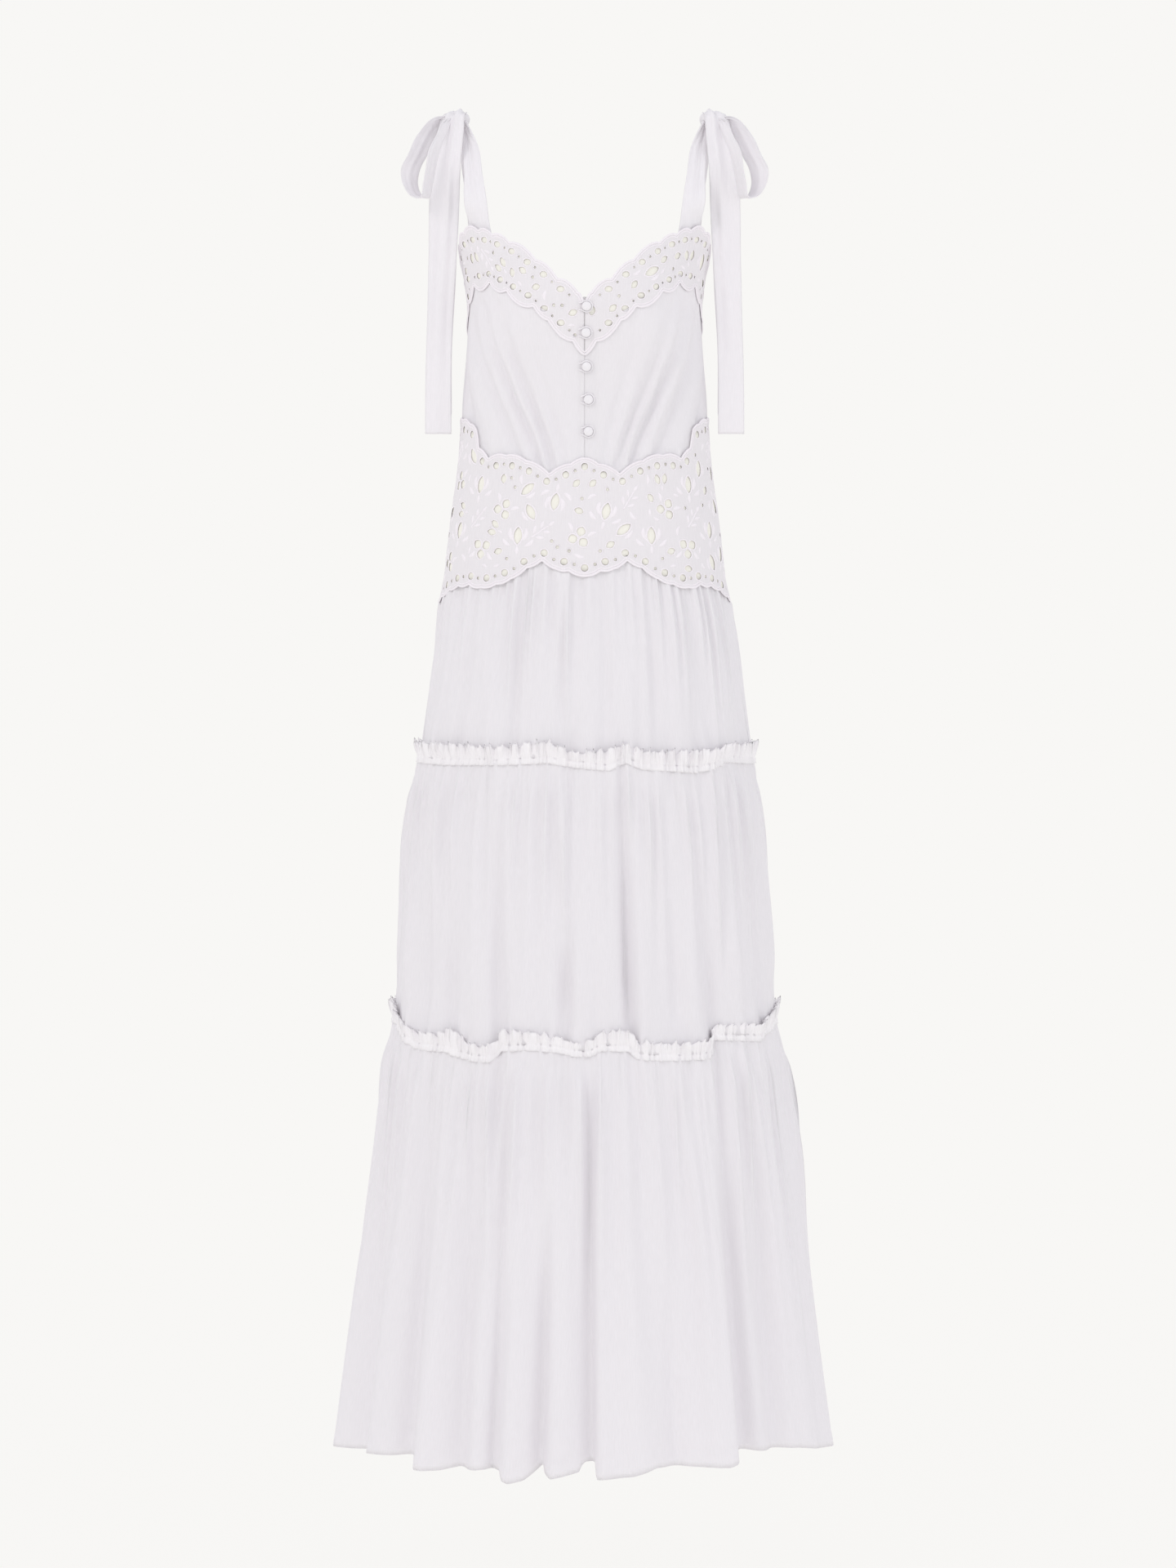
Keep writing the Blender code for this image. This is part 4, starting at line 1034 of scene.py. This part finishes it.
def tieSheet(word, spec, side, label):
    rows = [formPoint(np.array(r[:3]), r[3], r[4]) / mm for r in spec.get("root", ())]
    for end in ("start", "end"):
        if end in spec:
            *way, half, turn = spec[end]
            unit = np.array(way) / np.linalg.norm(way)
            one = crossRow(knotCore + coreRadii * unit, half, turn, way)
            spec = {**spec, end + "Row": one}
    if "startRow" in spec:
        rows.append(spec["startRow"])
    rows += [crossRow(r[:3], r[3], r[4]) for r in spec["rows"]]
    if "endRow" in spec:
        rows.append(spec["endRow"])
    rows = np.array(rows)
    gaps = np.concatenate([[0], np.cumsum(np.linalg.norm(np.diff(rows[:, 1], axis=0), axis=1))])
    table = [(g, *r.ravel()) for g, r in zip(gaps, rows)]
    count = int(gaps[-1] / tieStep) + 8
    at = np.linspace(0, gaps[-1], count)
    smooth = smoothTable(table, at).reshape(count, 3, 3)
    t = np.linspace(-1, 1, tieColumns)[None, :, None]
    line = np.where(t < 0, smooth[:, 1:2] * (1 + t) - smooth[:, 0:1] * t,
        smooth[:, 1:2] * (1 - t) + smooth[:, 2:3] * t)
    downward = np.gradient(smooth[:, 1], axis=0)
    sideways = smooth[:, 2] - smooth[:, 0]
    normal = np.cross(sideways, downward)
    normal /= np.linalg.norm(normal, axis=1)[:, None]
    share = (at / gaps[-1])[:, None]
    flat = t[..., 0]
    lift = np.zeros((count, tieColumns))
    for centre, depth, width, fromShare, toShare in spec["creases"]:
        middle = centre * (0.75 + 0.25 * share) + 0.05 * np.sin(share * 9 + centre * 7)
        ends = smoothStep((share - fromShare + 0.12) / 0.12)
        ends = ends * (1 - smoothStep((share - toShare + 0.1) / 0.25))
        lift += depth * ends * bell((flat - middle) / width)
    # Bunched where it enters the knot, with rolled edges all along.
    closeToKnot = np.zeros_like(share)
    if "startRow" in spec:
        closeToKnot = np.maximum(closeToKnot, 1 - smoothStep(at[:, None] / bunchedOver))
    if "endRow" in spec:
        closeToKnot = np.maximum(closeToKnot, 1 - smoothStep((gaps[-1] - at[:, None]) / bunchedOver))
    lift += closeToKnot * 1.5 * np.sin(flat * 7.5 + 1.2)
    lift += 0.35 * bell((np.abs(flat) - 0.9) / 0.07)
    lift += 0.5 * np.sin(share * gaps[-1] / 23 + flat * 1.6) * (1 - closeToKnot)
    points = line + normal[:, None] * lift[..., None]
    points[..., 0] *= side
    if side < 0:
        points = points[:, ::-1]
    name = "".join(p.title() if i else p for i, p in enumerate(word.split("_"))) + label.title()
    piece = gridObject(name, points * mm, tieMaterial, thickness=0.9, side=0)
    place(piece, word + "_" + label, "tie")

knotSpec = {"wraps": ((0.1, 0.16, 1.4), (0.75, 0.13, 1.1), (-0.55, 0.14, 1.2), (1.5, 0.2, 0.9),
    (2.3, 0.15, 1.0), (-1.6, 0.2, 1.0))}
for side, label in ((1, "left"), (-1, "right")):
    for word, spec in ties.items():
        tieSheet(word, spec, side, label)
    bpy.ops.object.select_all(action="DESELECT")
    bpy.ops.mesh.primitive_uv_sphere_add(segments=56, ring_count=30, radius=1)
    knot = bpy.context.object
    knot.name = "knot" + label.title()
    for vertex in knot.data.vertices:
        v = np.array(vertex.co)
        # Creases run over the knot from front to back, pulled together underneath.
        lean = math.atan2(v[0], v[2] + 0.35) + 0.25 * math.sin(3 * v[1])
        push = sum(-size * bell((lean - at) / width) for at, width, size in knotSpec["wraps"])
        push += 0.15 * math.sin(7 * v[1] + 3 * v[0])
        v = np.sign(v) * np.abs(v) ** 0.9
        spot = knotAt + v * knotRadii + np.array(vertex.co) * push
        spot[0] *= side
        vertex.co = Vector(spot * mm)
    if side < 0:
        knot.data.flip_normals()
    knot.data.materials.append(tieMaterial)
    layer = knot.data.uv_layers.active
    layer.name = "cut"
    for uv in layer.data:
        uv.uv = uv.uv * 0.06
    bpy.ops.object.shade_smooth()
    place(knot, "knot_" + label, "tie")
print("stage: ties")

# Floor, camera and light.
floorLevel, floorReach = -1.6, 30
paperColour = srgb("#F8F7F5")
mesh = bpy.data.meshes.new("floor")
corners = [(x * floorReach, y * floorReach, floorLevel) for x, y in ((-1, -1), (1, -1), (1, 1), (-1, 1))]
mesh.from_pydata(corners, [], [(0, 1, 2, 3)])
floor = bpy.data.objects.new("floor", mesh)
bpy.context.scene.collection.objects.link(floor)
paper = bpy.data.materials.new("studioPaper")
paper.use_nodes = True
tree = paper.node_tree
tree.nodes.clear()
# Seamless studio paper, lit to almost the tone of the backdrop.
spot = addNode(tree, "TexCoord").outputs["Object"]
spread = addNode(tree, "VectorMath", {1: (0.9, 0.9, 0)}, {0: spot}, operation="MULTIPLY")
distance = addNode(tree, "VectorMath", links={0: spread.outputs[0]}, operation="LENGTH")
fade = addNode(tree, "MapRange", {"From Min": 0.3, "From Max": 2.2, "To Min": 0.03, "To Max": 0.0},
    {"Value": distance.outputs["Value"]})
grain = addNode(tree, "TexNoise", {"Scale": 220.0, "Detail": 2.0}, {"Vector": spot})
grainBump = addNode(tree, "Bump", {"Strength": 0.05, "Distance": 0.0005}, {"Height": grain.outputs["Fac"]})
matt = addNode(tree, "BsdfDiffuse", {"Color": paperColour}, {"Normal": grainBump.outputs[0]})
glow = addNode(tree, "Emission", {"Color": paperColour, "Strength": 1.0})
mixed = addNode(tree, "MixShader", links={0: fade.outputs[0], 1: glow.outputs[0], 2: matt.outputs[0]})
addNode(tree, "OutputMaterial", links={"Surface": mixed.outputs[0]})
mesh.materials.append(paper)

view = {"at": (0.0036, -5.0, -0.315), "tilt": 4.6365, "lens": 104.857}
cameraData = bpy.data.cameras.new("camera")
cameraData.lens = view["lens"]
cameraData.sensor_width = 36
cameraData.clip_end = 100
camera = bpy.data.objects.new("camera", cameraData)
camera.location = view["at"]
camera.rotation_euler = (math.radians(90 - view["tilt"]), 0, 0)
bpy.context.scene.collection.objects.link(camera)
bpy.context.scene.camera = camera

lights = {
    "keyLight": {"at": (-2.6, -3.2, 2.4), "size": 1.6, "power": 34, "colour": "#FFFDFB"},
    "fillLight": {"at": (3.2, -2.8, 0.2), "size": 3.0, "power": 16, "colour": "#FAFBFF"},
}
for name, look in lights.items():
    data = bpy.data.lights.new(name, "AREA")
    data.size, data.energy, data.color = look["size"], look["power"], srgb(look["colour"])[:3]
    lamp = bpy.data.objects.new(name, data)
    lamp.location = look["at"]
    lamp.rotation_euler = (Vector((0, 0, -0.75)) - Vector(look["at"])).to_track_quat("-Z", "Y").to_euler()
    bpy.context.scene.collection.objects.link(lamp)

world = bpy.data.worlds.new("backdrop")
bpy.context.scene.world = world
world.use_nodes = True
tree = world.node_tree
tree.nodes.clear()
seen = addNode(tree, "Background", {"Color": paperColour, "Strength": 1.0})
lighting = addNode(tree, "Background", {"Color": srgb("#F6F7FA"), "Strength": 0.89})
path = addNode(tree, "LightPath")
both = addNode(tree, "MixShader", links={0: path.outputs["Is Camera Ray"], 1: lighting.outputs[0],
    2: seen.outputs[0]})
addNode(tree, "OutputWorld", links={"Surface": both.outputs[0]})
bpy.context.scene.view_settings.view_transform = "Standard"
